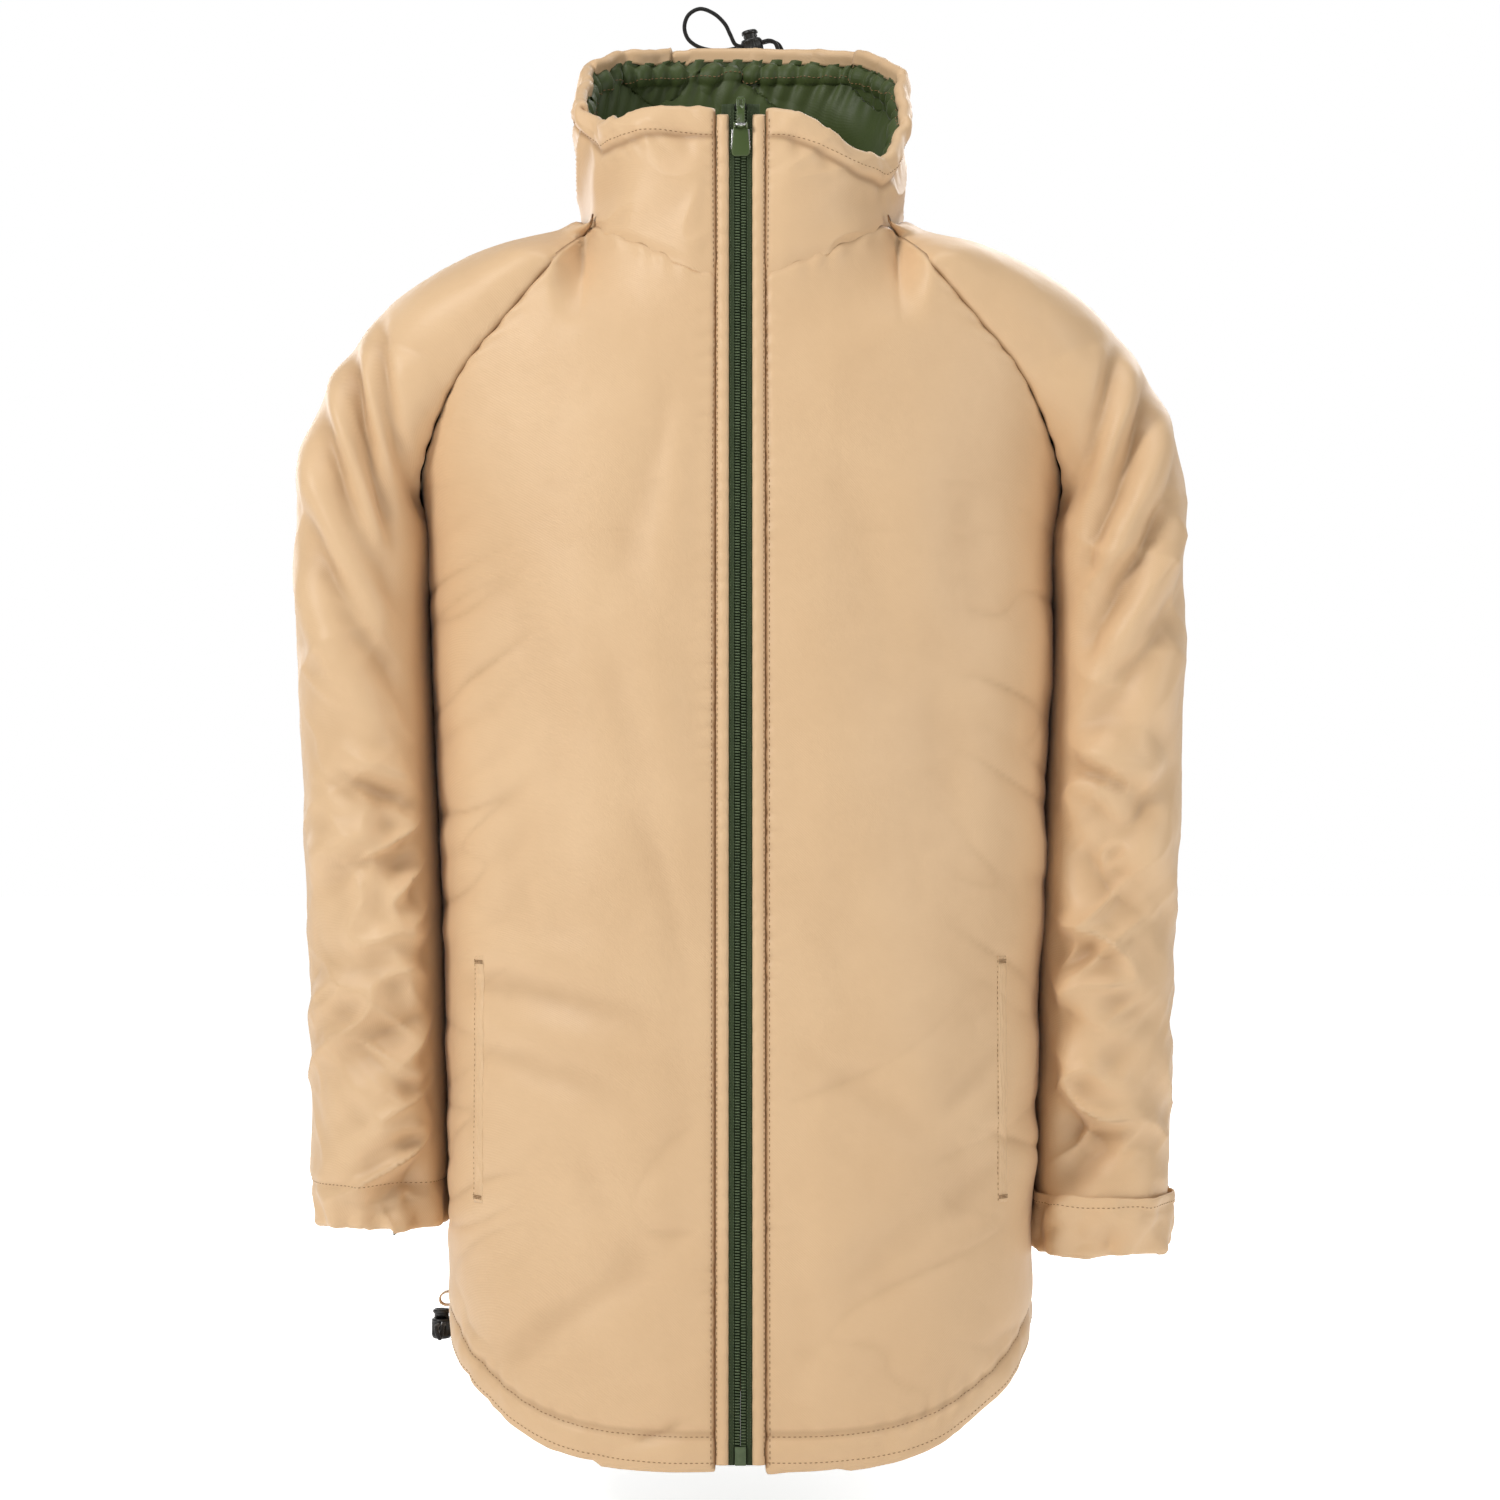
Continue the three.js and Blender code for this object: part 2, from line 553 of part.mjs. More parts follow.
// The left cuff is turned back over the sleeve; the right one has its facing inside.
const turned = sleeveTube(1, -2.6).subtract(sleeveTube(1, -GAP))
  .intersect(box(0, 400, -300, 300, CUFF_LEFT, CUFF_LEFT + CUFF_TURN));
add('cuff_left_turnback', turned, 'shell');
const facing = liningOuter + LINING + GAP;
const faced = sleeveTube(-1, facing).subtract(sleeveTube(-1, facing + 1))
  .intersect(box(-400, 0, -300, 300, CUFF_RIGHT, CUFF_RIGHT + CUFF_FACING));
add('cuff_right_facing', faced, 'lining');

const cordRing = { outer: TUNNEL.outer + GAP, inner: TUNNEL.inner - GAP };
const hemCord = layerOf(bodySolid, cordRing.outer, cordRing.inner).intersect(bodyRegion())
  .intersect(aboveHem(TUNNEL.drop + GAP)).subtract(aboveHem(TUNNEL.drop + TUNNEL.height - GAP))
  .subtract(zipGap);
add('hem_drawcord', hemCord, 'cord');
const collarCord = layerOf(collarSolid, cordRing.outer, cordRing.inner)
  .intersect(belowCollarTop(TUNNEL.drop + GAP))
  .subtract(belowCollarTop(TUNNEL.drop + TUNNEL.height - GAP)).subtract(zipGap);
add('collar_drawcord', collarCord, 'cord');

for (const { name, s } of sides) {
  const welt = layerOf(bodySolid, -GAP - 1.2, -GAP).intersect(pocketPrism(s, 0, 0));
  add(`pocket_welt_${name}`, welt, 'shell');
  const bag = layerOf(bodySolid, bagOuter, bagInner).intersect(pocketPrism(s, 0, POCKET.bag));
  add(`pocket_bag_${name}`, bag, 'lining');
}

// A strip of tape inside the back of the neck, to hang the jacket by.
function hangerLoop() {
  const { low } = HANGER;
  const back = lerpRow(COLLAR, low)[2] - liningOuter - LINING - GAP;
  const front = back - HANGER.stand;
  const half = HANGER.width / 2;
  const high = low + HANGER.height;
  const strap = box(-half, half, front, front + HANGER.thick, low, high);
  const foot = (x) => box(x, x + HANGER.foot, front, back, low, high);
  return strap.add(foot(-half)).add(foot(half - HANGER.foot));
}
add('hanger_loop', hangerLoop(), 'lining');

jacket.add(zipGroup);
for (const { name, s } of sides) {
  const { tape, teeth } = zipHalf(s);
  add(`zip_tape_${name}`, tape, 'zip_tape', zipGroup);
  add(`zip_teeth_${name}`, teeth, 'zip_chain', zipGroup);
  const x = s > 0 ? [CHAIN_MIDDLE, CHAIN_HALF] : [-CHAIN_HALF, -CHAIN_MIDDLE];
  const stop = box(...x, chainFront - 0.3, chainBack + 0.3, chainTop + GAP, chainTop + STOP_LENGTH);
  add(`zip_top_stop_${name}`, stop, 'black_plastic', zipGroup);
  const edge = ZIP_OPENING + 0.2;
  const across = s > 0 ? [edge, edge + EDGE_STRIP] : [-edge - EDGE_STRIP, -edge];
  const strip = box(...across, -GAP - EDGE_THICK, -GAP, -zipLength + 2, -8);
  add(`edge_strip_${name}`, strip, 'shell', zipGroup);
}
const { slider, pinY, pinZ } = zipSlider();
add('zip_slider', slider, 'enamel', zipGroup);
add('zip_pull', zipPull(pinY, pinZ), 'enamel', zipGroup);
const boxTop = -zipLength + BOX_LENGTH;
const pin = box(-1.9, -0.5, 0.7, 2.3, boxTop - 9, boxTop - 0.2);
add('zip_insertion_pin', pin, 'zip_chain', zipGroup);
const socket = box(-3.3, 3.3, chainFront - 0.9, chainBack + 0.9, boxTop - BOX_LENGTH + 1, boxTop)
  .subtract(box(-2.2, -0.2, 0.4, 2.6, boxTop - 9.4, boxTop + 2));
add('zip_box', socket, 'zip_chain', zipGroup);

// The nape lock leans with its loop; the hem lock stands with its cord along Y.
const locks = [
  { name: 'nape', at: NAPE_LOCK, turn: new THREE.Euler(0, (NAPE_LOCK.tilt * Math.PI) / 180, 0) },
  { name: 'hem', at: HEM_LOCK, turn: new THREE.Euler(0, 0, Math.PI / 2) },
];
for (const { name, at, turn } of locks) {
  const group = new THREE.Group();
  group.position.set(at.x, at.y, at.z);
  group.rotation.copy(turn);
  const { body, plunger, spring } = cordLock();
  add(`${name}_lock_barrel`, body, 'black_plastic', group);
  add(`${name}_lock_plunger`, plunger, 'black_plastic', group);
  add(`${name}_lock_spring`, spring, 'steel', group);
  jacket.add(group);
}
add('nape_cord', cordAlong(NAPE_ROUTE, 60), 'cord');
const hemRoute = HEM_ROUTE.map(([x, y, z]) => [x, y, z + HEM_LEVEL]);
add('hem_cord', cordAlong(hemRoute, 26), 'cord');

const patchY = lerpRow(COLLAR, EYELET.z)[2] + GAP;
let patch = box(EYELET.x[0] - 5, EYELET.x[1] + 4.5, patchY, patchY + 1, EYELET.z - 4, EYELET.z + 4);
for (const hole of napeHoles) patch = patch.subtract(hole);
add('nape_eyelet_patch', patch, 'shell');

export default jacket;
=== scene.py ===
"""An insulated tan satin jacket with a dark green lining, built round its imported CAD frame."""
import math

import bpy
import numpy as np
from mathutils import Matrix, Vector


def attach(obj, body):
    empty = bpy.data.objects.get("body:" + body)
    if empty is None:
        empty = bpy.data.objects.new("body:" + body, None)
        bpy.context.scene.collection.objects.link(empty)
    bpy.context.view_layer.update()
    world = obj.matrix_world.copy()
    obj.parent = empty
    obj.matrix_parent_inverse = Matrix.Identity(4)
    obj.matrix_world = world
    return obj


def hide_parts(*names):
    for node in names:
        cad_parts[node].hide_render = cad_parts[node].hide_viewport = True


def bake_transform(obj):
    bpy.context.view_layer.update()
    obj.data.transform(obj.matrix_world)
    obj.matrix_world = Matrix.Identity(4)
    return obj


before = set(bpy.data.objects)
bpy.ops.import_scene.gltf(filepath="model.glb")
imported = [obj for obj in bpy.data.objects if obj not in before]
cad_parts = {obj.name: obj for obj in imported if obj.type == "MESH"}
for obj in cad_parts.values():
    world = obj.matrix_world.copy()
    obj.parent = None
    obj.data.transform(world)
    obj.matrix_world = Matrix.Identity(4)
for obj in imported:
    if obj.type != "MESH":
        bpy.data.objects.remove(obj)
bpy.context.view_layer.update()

# ---- Sizes, in metres, in the row frame -------------------------------------------------
ZIP_TOP = (-0.095, 0.054)  # y and z of the zip's upper end
ZIP_BOTTOM = (-0.150, -0.766)
HEM_LOW = -0.766
HEM_RISE = 0.066
HEM_HALF = 0.185
OPENING = 0.0072  # half of the gap that the zip shows through
STRIP = 0.0072  # the padded strip along each front edge
POWER = 2 / 2.4  # the sections' exponent
FLAT = math.cos(math.pi / 16) ** POWER
SKIN = 0.0009  # thickness of the satin
LINING_SKIN = 0.0006
LOFT = 0.0078  # from the outer face to the lining
CORD_DEPTH = 0.0040  # from the outer face to a tunnel's drawcord
DRAWCORD_RADIUS = 0.0012
SLEEVE_CLEAR = 0.0004
FOLD_SHADE = 0.45  # how strongly painted shade darkens a fold's valley, beside a seam line's 1
BACK_LIFT = 0.021  # how much higher the raglan seam meets the collar behind than in front
SEAM_LAP = 0.0034  # how far a sleeve's edge reaches past the seam, into the body's edge
TORSO = [  # z, half width, back
    (-0.800, 0.173, 0.125), (-0.700, 0.183, 0.128), (-0.467, 0.188, 0.130), (-0.308, 0.196, 0.130),
    (-0.207, 0.199, 0.127), (-0.150, 0.208, 0.119), (-0.092, 0.218, 0.110), (-0.040, 0.190, 0.097),
    (-0.019, 0.164, 0.092), (0.000, 0.118, 0.088), (0.025, 0.098, 0.086), (0.070, 0.097, 0.086),
]
FALL = [(-0.680, 0.268, 0.053), (-0.467, 0.274, 0.065), (-0.308, 0.278, 0.075), (-0.207, 0.280, 0.078)]
SHOULDER_LINE = [  # the sleeve's top edge from the armpit's level to the neck, x and z
    (0.280, -0.207), (0.2785, -0.164), (0.267, -0.125), (0.247, -0.090), (0.215, -0.055),
    (0.165, -0.026), (0.101, -0.004),
]
RAGLAN = [(0.1995, -0.207), (0.203, -0.172), (0.178, -0.113), (0.147, -0.075), (0.092, -0.013)]
CAP_DEPTH = [(0.0, 0.078), (0.2, 0.080), (0.45, 0.079), (0.7, 0.075), (1.0, 0.053)]
COLLAR_HALF = [(-0.09, 0.097), (0.0, 0.101), (0.06, 0.105), (0.15, 0.106)]
COLLAR_BACK = [(-0.09, 0.084), (0.0, 0.086), (0.06, 0.087), (0.15, 0.086)]
CUFFS = {1: -0.651, -1: -0.635}
CUFF_TURN = 0.033
ARMPIT = -0.207
SPLIT = -0.327  # where a sleeve's two drawn pieces meet
FLOOR = -0.80
NAMES = {1: "left", -1: "right"}

LATTICE = np.random.default_rng(11).random((32, 32, 32))


# ---- Arithmetic on grids of points --------------------------------------------------------
def noise(points, size, octaves):
    """Smooth noise from -1 to 1 whose bumps are about `size` across."""
    total, weight, share = 0.0, 1.0, 0.0
    for octave in range(octaves):
        q = points / size * 2**octave + 7.3 * octave
        cell = np.floor(q).astype(int)
        f = q - cell
        f = f * f * (3 - 2 * f)
        value = 0.0
        for dx in (0, 1):
            for dy in (0, 1):
                for dz in (0, 1):
                    w = np.abs(1 - dx - f[..., 0]) * np.abs(1 - dy - f[..., 1]) * np.abs(1 - dz - f[..., 2])
                    value = value + w * LATTICE[
                        (cell[..., 0] + dx) % 32, (cell[..., 1] + dy) % 32, (cell[..., 2] + dz) % 32
                    ]
        total = total + weight * (2 * value - 1)
        share += weight
        weight *= 0.5
    return total / share


def ease(low, high, value):
    t = np.clip((value - low) / (high - low), 0, 1)
    return t * t * (3 - 2 * t)


def smooth_table(rows, blur=0.012):
    """Functions that read a table's columns, with its corners rounded over `blur`."""
    rows = np.array(sorted(rows), float)
    step = 0.001
    level = np.arange(rows[0, 0] - 5 * blur, rows[-1, 0] + 5 * blur, step)
    kernel = np.exp(-0.5 * (np.arange(-3 * blur, 3 * blur + step / 2, step) / blur) ** 2)
    kernel /= kernel.sum()
    half = len(kernel) // 2
    columns = []
    for k in range(1, rows.shape[1]):
        values = np.interp(level, rows[:, 0], rows[:, k])
        values = np.convolve(np.pad(values, half, mode="edge"), kernel, mode="valid")[: len(level)]
        columns.append(values)
    return [lambda z, v=v: np.interp(z, level, v) for v in columns]


def along(points, count):
    """`count` points evenly spaced on a smooth line through the given ones."""
    p = np.array(points, float)
    q = np.vstack([2 * p[0] - p[1], p, 2 * p[-1] - p[-2]])
    out = []
    for i in range(1, len(q) - 2):
        t = np.linspace(0, 1, 40, endpoint=False)[:, None]
        a, b, c, d = q[i - 1], q[i], q[i + 1], q[i + 2]
        square, cube = 2 * a - 5 * b + 4 * c - d, 3 * b - a - 3 * c + d
        out.append(0.5 * (2 * b + (c - a) * t + square * t**2 + cube * t**3))
    dense = np.vstack(out + [p[-1:]])
    return resample(dense, count)


def travelled(line):
    """The distance along a line at each of its points."""
    return np.concatenate([[0], np.cumsum(np.linalg.norm(np.diff(line, axis=0), axis=1))])


def resample(line, count):
    run = travelled(line)
    at = np.linspace(0, run[-1], count)
    return np.stack([np.interp(at, run, line[:, k]) for k in range(line.shape[1])], axis=1)


def normals_of(grid, outward):
    """Unit normals of a grid, on the side that `outward`, one vector or many, points to."""
    n = np.cross(np.gradient(grid, axis=1), np.gradient(grid, axis=0))
    n /= np.linalg.norm(n, axis=2, keepdims=True) + 1e-12
    return n if (n * outward).sum() > 0 else -n


def lengths(grid, axis):
    """Distance travelled along the rows (axis 1) or the columns (axis 0) of a grid."""
    run = np.cumsum(np.linalg.norm(np.diff(grid, axis=axis), axis=2), axis=axis)
    pad = [(1, 0), (0, 0)] if axis == 0 else [(0, 0), (1, 0)]
    return np.pad(run, pad)


def crease(a, b, fold, ridge=0.7):
    """A fold between two places in the plane of a and b: a valley with a ridge beside it."""
    a0, b0, a1, b1, width, depth = (v / 1000 for v in fold)
    length = math.hypot(a1 - a0, b1 - b0)
    ta, tb = (a1 - a0) / length, (b1 - b0) / length
    t = ((a - a0) * ta + (b - b0) * tb) / length
    d = -(a - a0) * tb + (b - b0) * ta
    d = d + 0.12 * length * (t - 0.5) ** 2
    taper = ease(-0.25, 0.35, t) * ease(1.25, 0.65, t)
    w = width * (0.8 + 0.4 * np.clip(t, 0, 1))
    valley = -np.exp(-((d / w) ** 2))
    hill = ridge * np.exp(-(((d - 1.9 * w) / (1.3 * w)) ** 2))
    return depth * taper * (valley + hill)


# ---- The jacket's form --------------------------------------------------------------------
torso_half, torso_back = smooth_table(TORSO)
fall_outer, fall_depth = smooth_table(FALL)
collar_half, = smooth_table(COLLAR_HALF)
collar_back, = smooth_table(COLLAR_BACK)
cap_depth, = smooth_table(CAP_DEPTH, 0.06)


def zip_front(z):
    """The y of the zip's line at a height."""
    t = (z - ZIP_BOTTOM[1]) / (ZIP_TOP[1] - ZIP_BOTTOM[1])
    return ZIP_BOTTOM[0] + (ZIP_TOP[0] - ZIP_BOTTOM[0]) * t


def section(x, z, half, back, front_side):
    """The y of a rounded section of that half width and back, at x."""
    front = zip_front(z)
    h = (back - front) / 2 / FLAT
    middle = (back + front) / 2
    s = np.clip(1 - (np.abs(x) / half) ** (2 / POWER), 0, 1) ** (POWER / 2)
    y = middle + (-h if front_side else h) * s
    return np.maximum(y, front)


def neck_front(x):
    return np.minimum(-0.053 + 0.020 * (np.abs(x) / 0.053) ** 1.2, -0.013)


def neck_back(x):
    return 0.020 - 0.012 * np.clip(np.abs(x) / 0.092, 0, 1) ** 2


def body_y(x, z, front_side):
    """The body's front or back face; towards the neck it closes in on the collar."""
    y = section(x, z, torso_half(z), torso_back(z), front_side)
    if not front_side:
        return y
    neck = section(np.minimum(np.abs(x), 0.0965), z, 0.104, collar_back(z), True)
    pull = ease(0.075, 0.0, neck_front(x) - z) * ease(0.118, 0.096, np.abs(x))
    return y + (neck - y) * pull


def hem_at(x):
    return HEM_LOW + HEM_RISE * (np.abs(x) / HEM_HALF) ** 4


def raglan_x(z, lift):
    """The raglan seam's x at a height; behind, the seam climbs by `lift` more on its way up."""
    line = along(RAGLAN, 200)
    height = line[:, 1] + lift * np.linspace(0, 1, 200) ** 2
    order = np.argsort(height)
    return np.interp(z, height[order], line[order, 0])


def body_grid(side, front_side, rows, columns):
    """A grid of points over one front (side 1 or -1) or over the back (side 0)."""
    corner = -0.013 if front_side else 0.008
    level = np.linspace(HEM_LOW, corner, rows)[:, None]
    low = ease(-0.50, HEM_LOW, level)
    high = ease(-0.16, corner, level)
    reach = torso_half(level)
    for _ in range(6):
        reach = torso_half(level + (hem_at(reach) - HEM_LOW) * low)
    reach = np.where(level > ARMPIT, raglan_x(level, 0.0 if front_side else BACK_LIFT), reach)
    t = np.linspace(0, 1, columns)[None, :]
    if front_side:
        share = np.sin(t * math.pi / 2) ** 0.9
        x = OPENING + STRIP + 0.0004 + (reach - OPENING - STRIP - 0.0004) * share
    else:
        x = reach * np.sin((t - 0.5) * math.pi)
    top = neck_front(x) if front_side else neck_back(x)
    z = level + (hem_at(x) - HEM_LOW) * low + (top - corner) * high
    y = body_y(x, z, front_side)
    grid = np.stack([x, y, z], axis=2)
    grid = np.stack([resample(row, columns) for row in grid])
    if front_side:
        grid[:, :, 0] *= side
    return grid


def sleeve_grid(side, rows_fall, rows_cap, columns):
    """A grid from the cuff up to the armpit as a closed tube, then open up to the neck."""
    phi = np.linspace(-1, 1, columns)
    grid = []
    levels = np.linspace(CUFFS[side], ARMPIT, rows_fall, endpoint=False)
    for z in levels:
        out = fall_outer(z)
        inner = torso_half(z) + SLEEVE_CLEAR - SEAM_LAP * ease(-0.255, ARMPIT, z)
        middle = np.array([inner, 0, z])
        tip = np.array([out, 0, z])
        grid.append(arc(middle, tip, fall_depth(z), math.pi, phi))
    tips = along(SHOULDER_LINE, rows_cap)
    seam = along(RAGLAN, rows_cap)
    for k in range(rows_cap):
        s = k / (rows_cap - 1)
        x, z = seam[k]
        beside = torso_half(z) + SLEEVE_CLEAR
        x += (beside - x) * (1 - ease(0.0, 0.14, s)) - SEAM_LAP
        z_back = z + BACK_LIFT * s**2
        front = body_y(np.array(x), np.array(z), True)
        back = body_y(np.array(x), np.array(z_back), False)
        half = max(0.0, (back - front) / 2) * ease(0.0, 0.16, s)
        middle_y = (back + front) / 2 * ease(0.0, 0.25, s)
        depth = max(float(cap_depth(s)), half / 0.985)
        open_at = math.pi - math.asin((half / depth) ** (1 / POWER))
        middle = np.array([x, middle_y, (z + z_back) / 2])
        tip = np.array([tips[k, 0], middle_y, tips[k, 1]])
        row = arc(middle, tip, depth, open_at, phi)
        row[:, 2] += (z_back - z) / 2 * np.sin(phi * open_at) * ease(0.1, 0.5, s)
        grid.append(row)
    grid = np.array([resample(row, columns) for row in grid])
    grid[:, :, 0] *= side
    return grid


def arc(middle, tip, depth, half_angle, phi):
    """Part of a rounded ring: open towards `middle` unless half_angle is a half turn."""
    c, s = np.cos(phi * half_angle), np.sin(phi * half_angle)
    c = np.sign(c) * np.abs(c) ** POWER
    s = np.sign(s) * np.abs(s) ** POWER
    end = np.cos(half_angle)
    end = np.sign(end) * abs(end) ** POWER
    reach = (tip - middle) / (1 - end)
    centre = tip - reach
    return centre + reach * c[:, None] + np.array([0, depth, 0]) * s[:, None]


def collar_top(x, y):
    """The collar's upper edge: highest behind, with a dip on either side of the zip."""
    line = [(-0.110, 0.050), (-0.095, 0.0485), (-0.080, 0.040), (-0.062, 0.036), (-0.020, 0.064),
            (0.020, 0.092), (0.060, 0.112), (0.100, 0.121)]
    z = np.interp(y, *np.array(line).T)
    right_dip = 0.013 * ease(0.02, 0.075, x) * ease(0.01, -0.04, y)
    left_lift = 0.008 * ease(0.02, 0.07, -x) * ease(0.03, -0.04, y)
    return z - right_dip + left_lift


def collar_grid(rows, columns):
    """A grid round the neck from the wearer's left front edge to the right one."""
    start = math.acos(((OPENING + STRIP + 0.0004) / 0.101) ** (1 / POWER))
    turn = np.linspace(-start, math.pi + start, columns)
    c, s = np.cos(turn), np.sin(turn)
    unit_x = np.sign(c) * np.abs(c) ** POWER
    unit_y = np.sign(s) * np.abs(s) ** POWER
    grid = np.zeros((rows, columns, 3))
    for j, v in enumerate(np.linspace(0, 1, rows)):
        z = np.zeros(columns)
        for _ in range(4):
            half, back, front = collar_half(z), collar_back(z), zip_front(z)
            h = (back - front) / 2 / FLAT
            x = half * unit_x
            y = np.maximum((back + front) / 2 + h * unit_y, front)
            low = np.where(y < 0, neck_front(x), -0.013)
            low = low + (neck_back(x * 0) - low) * ease(-0.015, 0.080, y)
            low = low - 0.005 - 0.012 * ease(0.070, 0.092, np.abs(x)) - 0.010 * ease(0.0, 0.06, y)
            z = low + (collar_top(x, y) - low) * v
        grid[j] = np.stack([x, y, z], axis=1)
    return np.stack([resample(row, columns) for row in grid])


# ---- Meshes ---------------------------------------------------------------------------------
def mesh_object(name, points, faces, smooth=True):
    """A named object in the scene, from points and faces."""
    mesh = bpy.data.meshes.new(name)
    mesh.from_pydata([tuple(p) for p in points], [], [tuple(f) for f in faces])
    mesh.validate()
    mesh.update()
    mesh.shade_smooth() if smooth else mesh.shade_flat()
    obj = bpy.data.objects.new(name, mesh)
    bpy.context.scene.collection.objects.link(obj)
    return obj


def grid_faces(rows, columns, offset, flip):
    j, i = np.meshgrid(np.arange(rows - 1), np.arange(columns - 1), indexing="ij")
    a = (j * columns + i).ravel() + offset
    quads = np.stack([a, a + 1, a + columns + 1, a + columns], axis=1)
    return quads[:, ::-1] if flip else quads


def fold_shade(rise, depth=0.0024):
    """Painted shade for fold valleys: where a valley lies below the cloth round it, from 0 to the fold
    shade's strength.
    """
    level = rise
    for _ in range(12):
        level = (np.roll(level, 1, 0) + 2 * level + np.roll(level, -1, 0)) / 4
        level = (np.roll(level, 1, 1) + 2 * level + np.roll(level, -1, 1)) / 4
    painted_shade = np.clip((level - rise) / depth, 0, 1)
    painted_shade[:6] = painted_shade[-6:] = 0
    return FOLD_SHADE * painted_shade


def line_at(distance, width=0.0016):
    """1 on a seam or a row of stitches and 0 a little way off."""
    return np.exp(-((distance / width) ** 2))


def paint_shade(obj, painted_shade, before=0, after=0):
    """Stores painted shade, for fold valleys and seam lines, on both faces of a sheet, with rows that have
    none before and after.
    """
    full = np.pad(painted_shade, [(before, after), (0, 0)])
    values = np.concatenate([full.ravel(), full.ravel()])
    layer = obj.data.attributes.new("painted_shade", "FLOAT", "POINT")
    layer.data.foreach_set("value", values.astype(np.float32))


def sheet_object(name, grid, normals, thick=SKIN, keep_normals=False):
    """A thin closed sheet of cloth whose outer face is the grid."""
    rows, columns = grid.shape[:2]
    inner = grid - normals * thick
    points = np.vstack([grid.reshape(-1, 3), inner.reshape(-1, 3)])
    mid_r, mid_c = rows // 2, columns // 2
    sample = np.cross(
        grid[mid_r, mid_c + 1] - grid[mid_r, mid_c], grid[mid_r + 1, mid_c] - grid[mid_r, mid_c]
    )
    flip = float(sample @ normals[mid_r, mid_c]) < 0
    count = rows * columns
    faces = [grid_faces(rows, columns, 0, flip), grid_faces(rows, columns, count, not flip)]
    border = [(0, i) for i in range(columns)] + [(j, columns - 1) for j in range(1, rows)]
    border += [(rows - 1, i) for i in range(columns - 2, -1, -1)] + [(j, 0) for j in range(rows - 2, 0, -1)]
    ring = [j * columns + i for j, i in border]
    for k, a in enumerate(ring):
        b = ring[(k + 1) % len(ring)]
        quad = [b, a, a + count, b + count]
        faces.append(np.array([quad[::-1] if flip else quad]))
    obj = mesh_object(name, points, np.vstack(faces))
    if keep_normals:
        own = np.vstack([normals.reshape(-1, 3), -normals.reshape(-1, 3)])
        obj.data.normals_split_custom_set_from_vertices([tuple(n) for n in own])
    return obj


ROLL_STEPS, INSIDE_ROWS = 8, 4
ROLL_ROWS = ROLL_STEPS + INSIDE_ROWS  # rows that a rolled edge adds


def rolled(grid, normals, edge, radius, inside, steps=ROLL_STEPS):
    """Adds rows that carry the cloth round one edge of the grid (0 first, -1 last) to the inside."""
    row = grid[edge]
    nxt = grid[1] if edge == 0 else grid[-2]
    n = normals[edge]
    out = row - nxt
    out /= np.linalg.norm(out, axis=1, keepdims=True)
    extra = []
    for k in range(1, steps + 1):
        t = math.pi * k / steps
        extra.append(row + out * radius * math.sin(t) - n * radius * (1 - math.cos(t)))
    for k in range(1, INSIDE_ROWS + 1):
        extra.append(row - n * 2 * radius - out * inside * k / INSIDE_ROWS)
    extra = np.array(extra)
    if edge == 0:
        return np.concatenate([extra[::-1], grid])
    return np.concatenate([grid, extra])


# ---- Materials ------------------------------------------------------------------------------
class Nodes:
    """A short way to write a material's node tree."""

    def __init__(self, name):
        self.material = bpy.data.materials.new(name)
        self.material.use_nodes = True
        self.tree = self.material.node_tree
        self.shader = self.tree.nodes["Principled BSDF"]
        self.place = None

    def add(self, kind, **settings):
        node = self.tree.nodes.new(kind)
        for key, value in settings.items():
            if key in node.inputs:
                node.inputs[key].default_value = value
            else:
                setattr(node, key, value)
        return node

    def texture(self, kind, **settings):
        """A texture laid on the object's own coordinates."""
        if not self.place:
            self.place = self.add("ShaderNodeTexCoord")
        node = self.add("ShaderNodeTex" + kind, **settings)
        self.link(self.place, "Object", node, "Vector")
        return node

    def bump(self, source, strength, distance, under=None):
        node = self.add("ShaderNodeBump", Strength=strength, Distance=distance)
        self.link(source, "Fac", node, "Height")
        if under:
            self.link(under, "Normal", node, "Normal")
        return node

    def gloss(self, source, low, high):
        """Roughness that a texture moves between two values."""
        node = self.add("ShaderNodeMapRange")
        node.inputs["To Min"].default_value = low
        node.inputs["To Max"].default_value = high
        self.link(source, "Fac", node, "Value")
        self.link(node, "Result", self.shader, "Roughness")

    def link(self, source, output, target, entry):
        self.tree.links.new(source.outputs[output], target.inputs[entry])

    def ramp(self, source, output, stops):
        node = self.add("ShaderNodeValToRGB")
        elements = node.color_ramp.elements
        while len(elements) < len(stops):
            elements.new(0.5)
        for element, (position, colour) in zip(elements, stops):
            element.position = position
            element.color = (*colour, 1)
        self.link(source, output, node, "Fac")
        return node


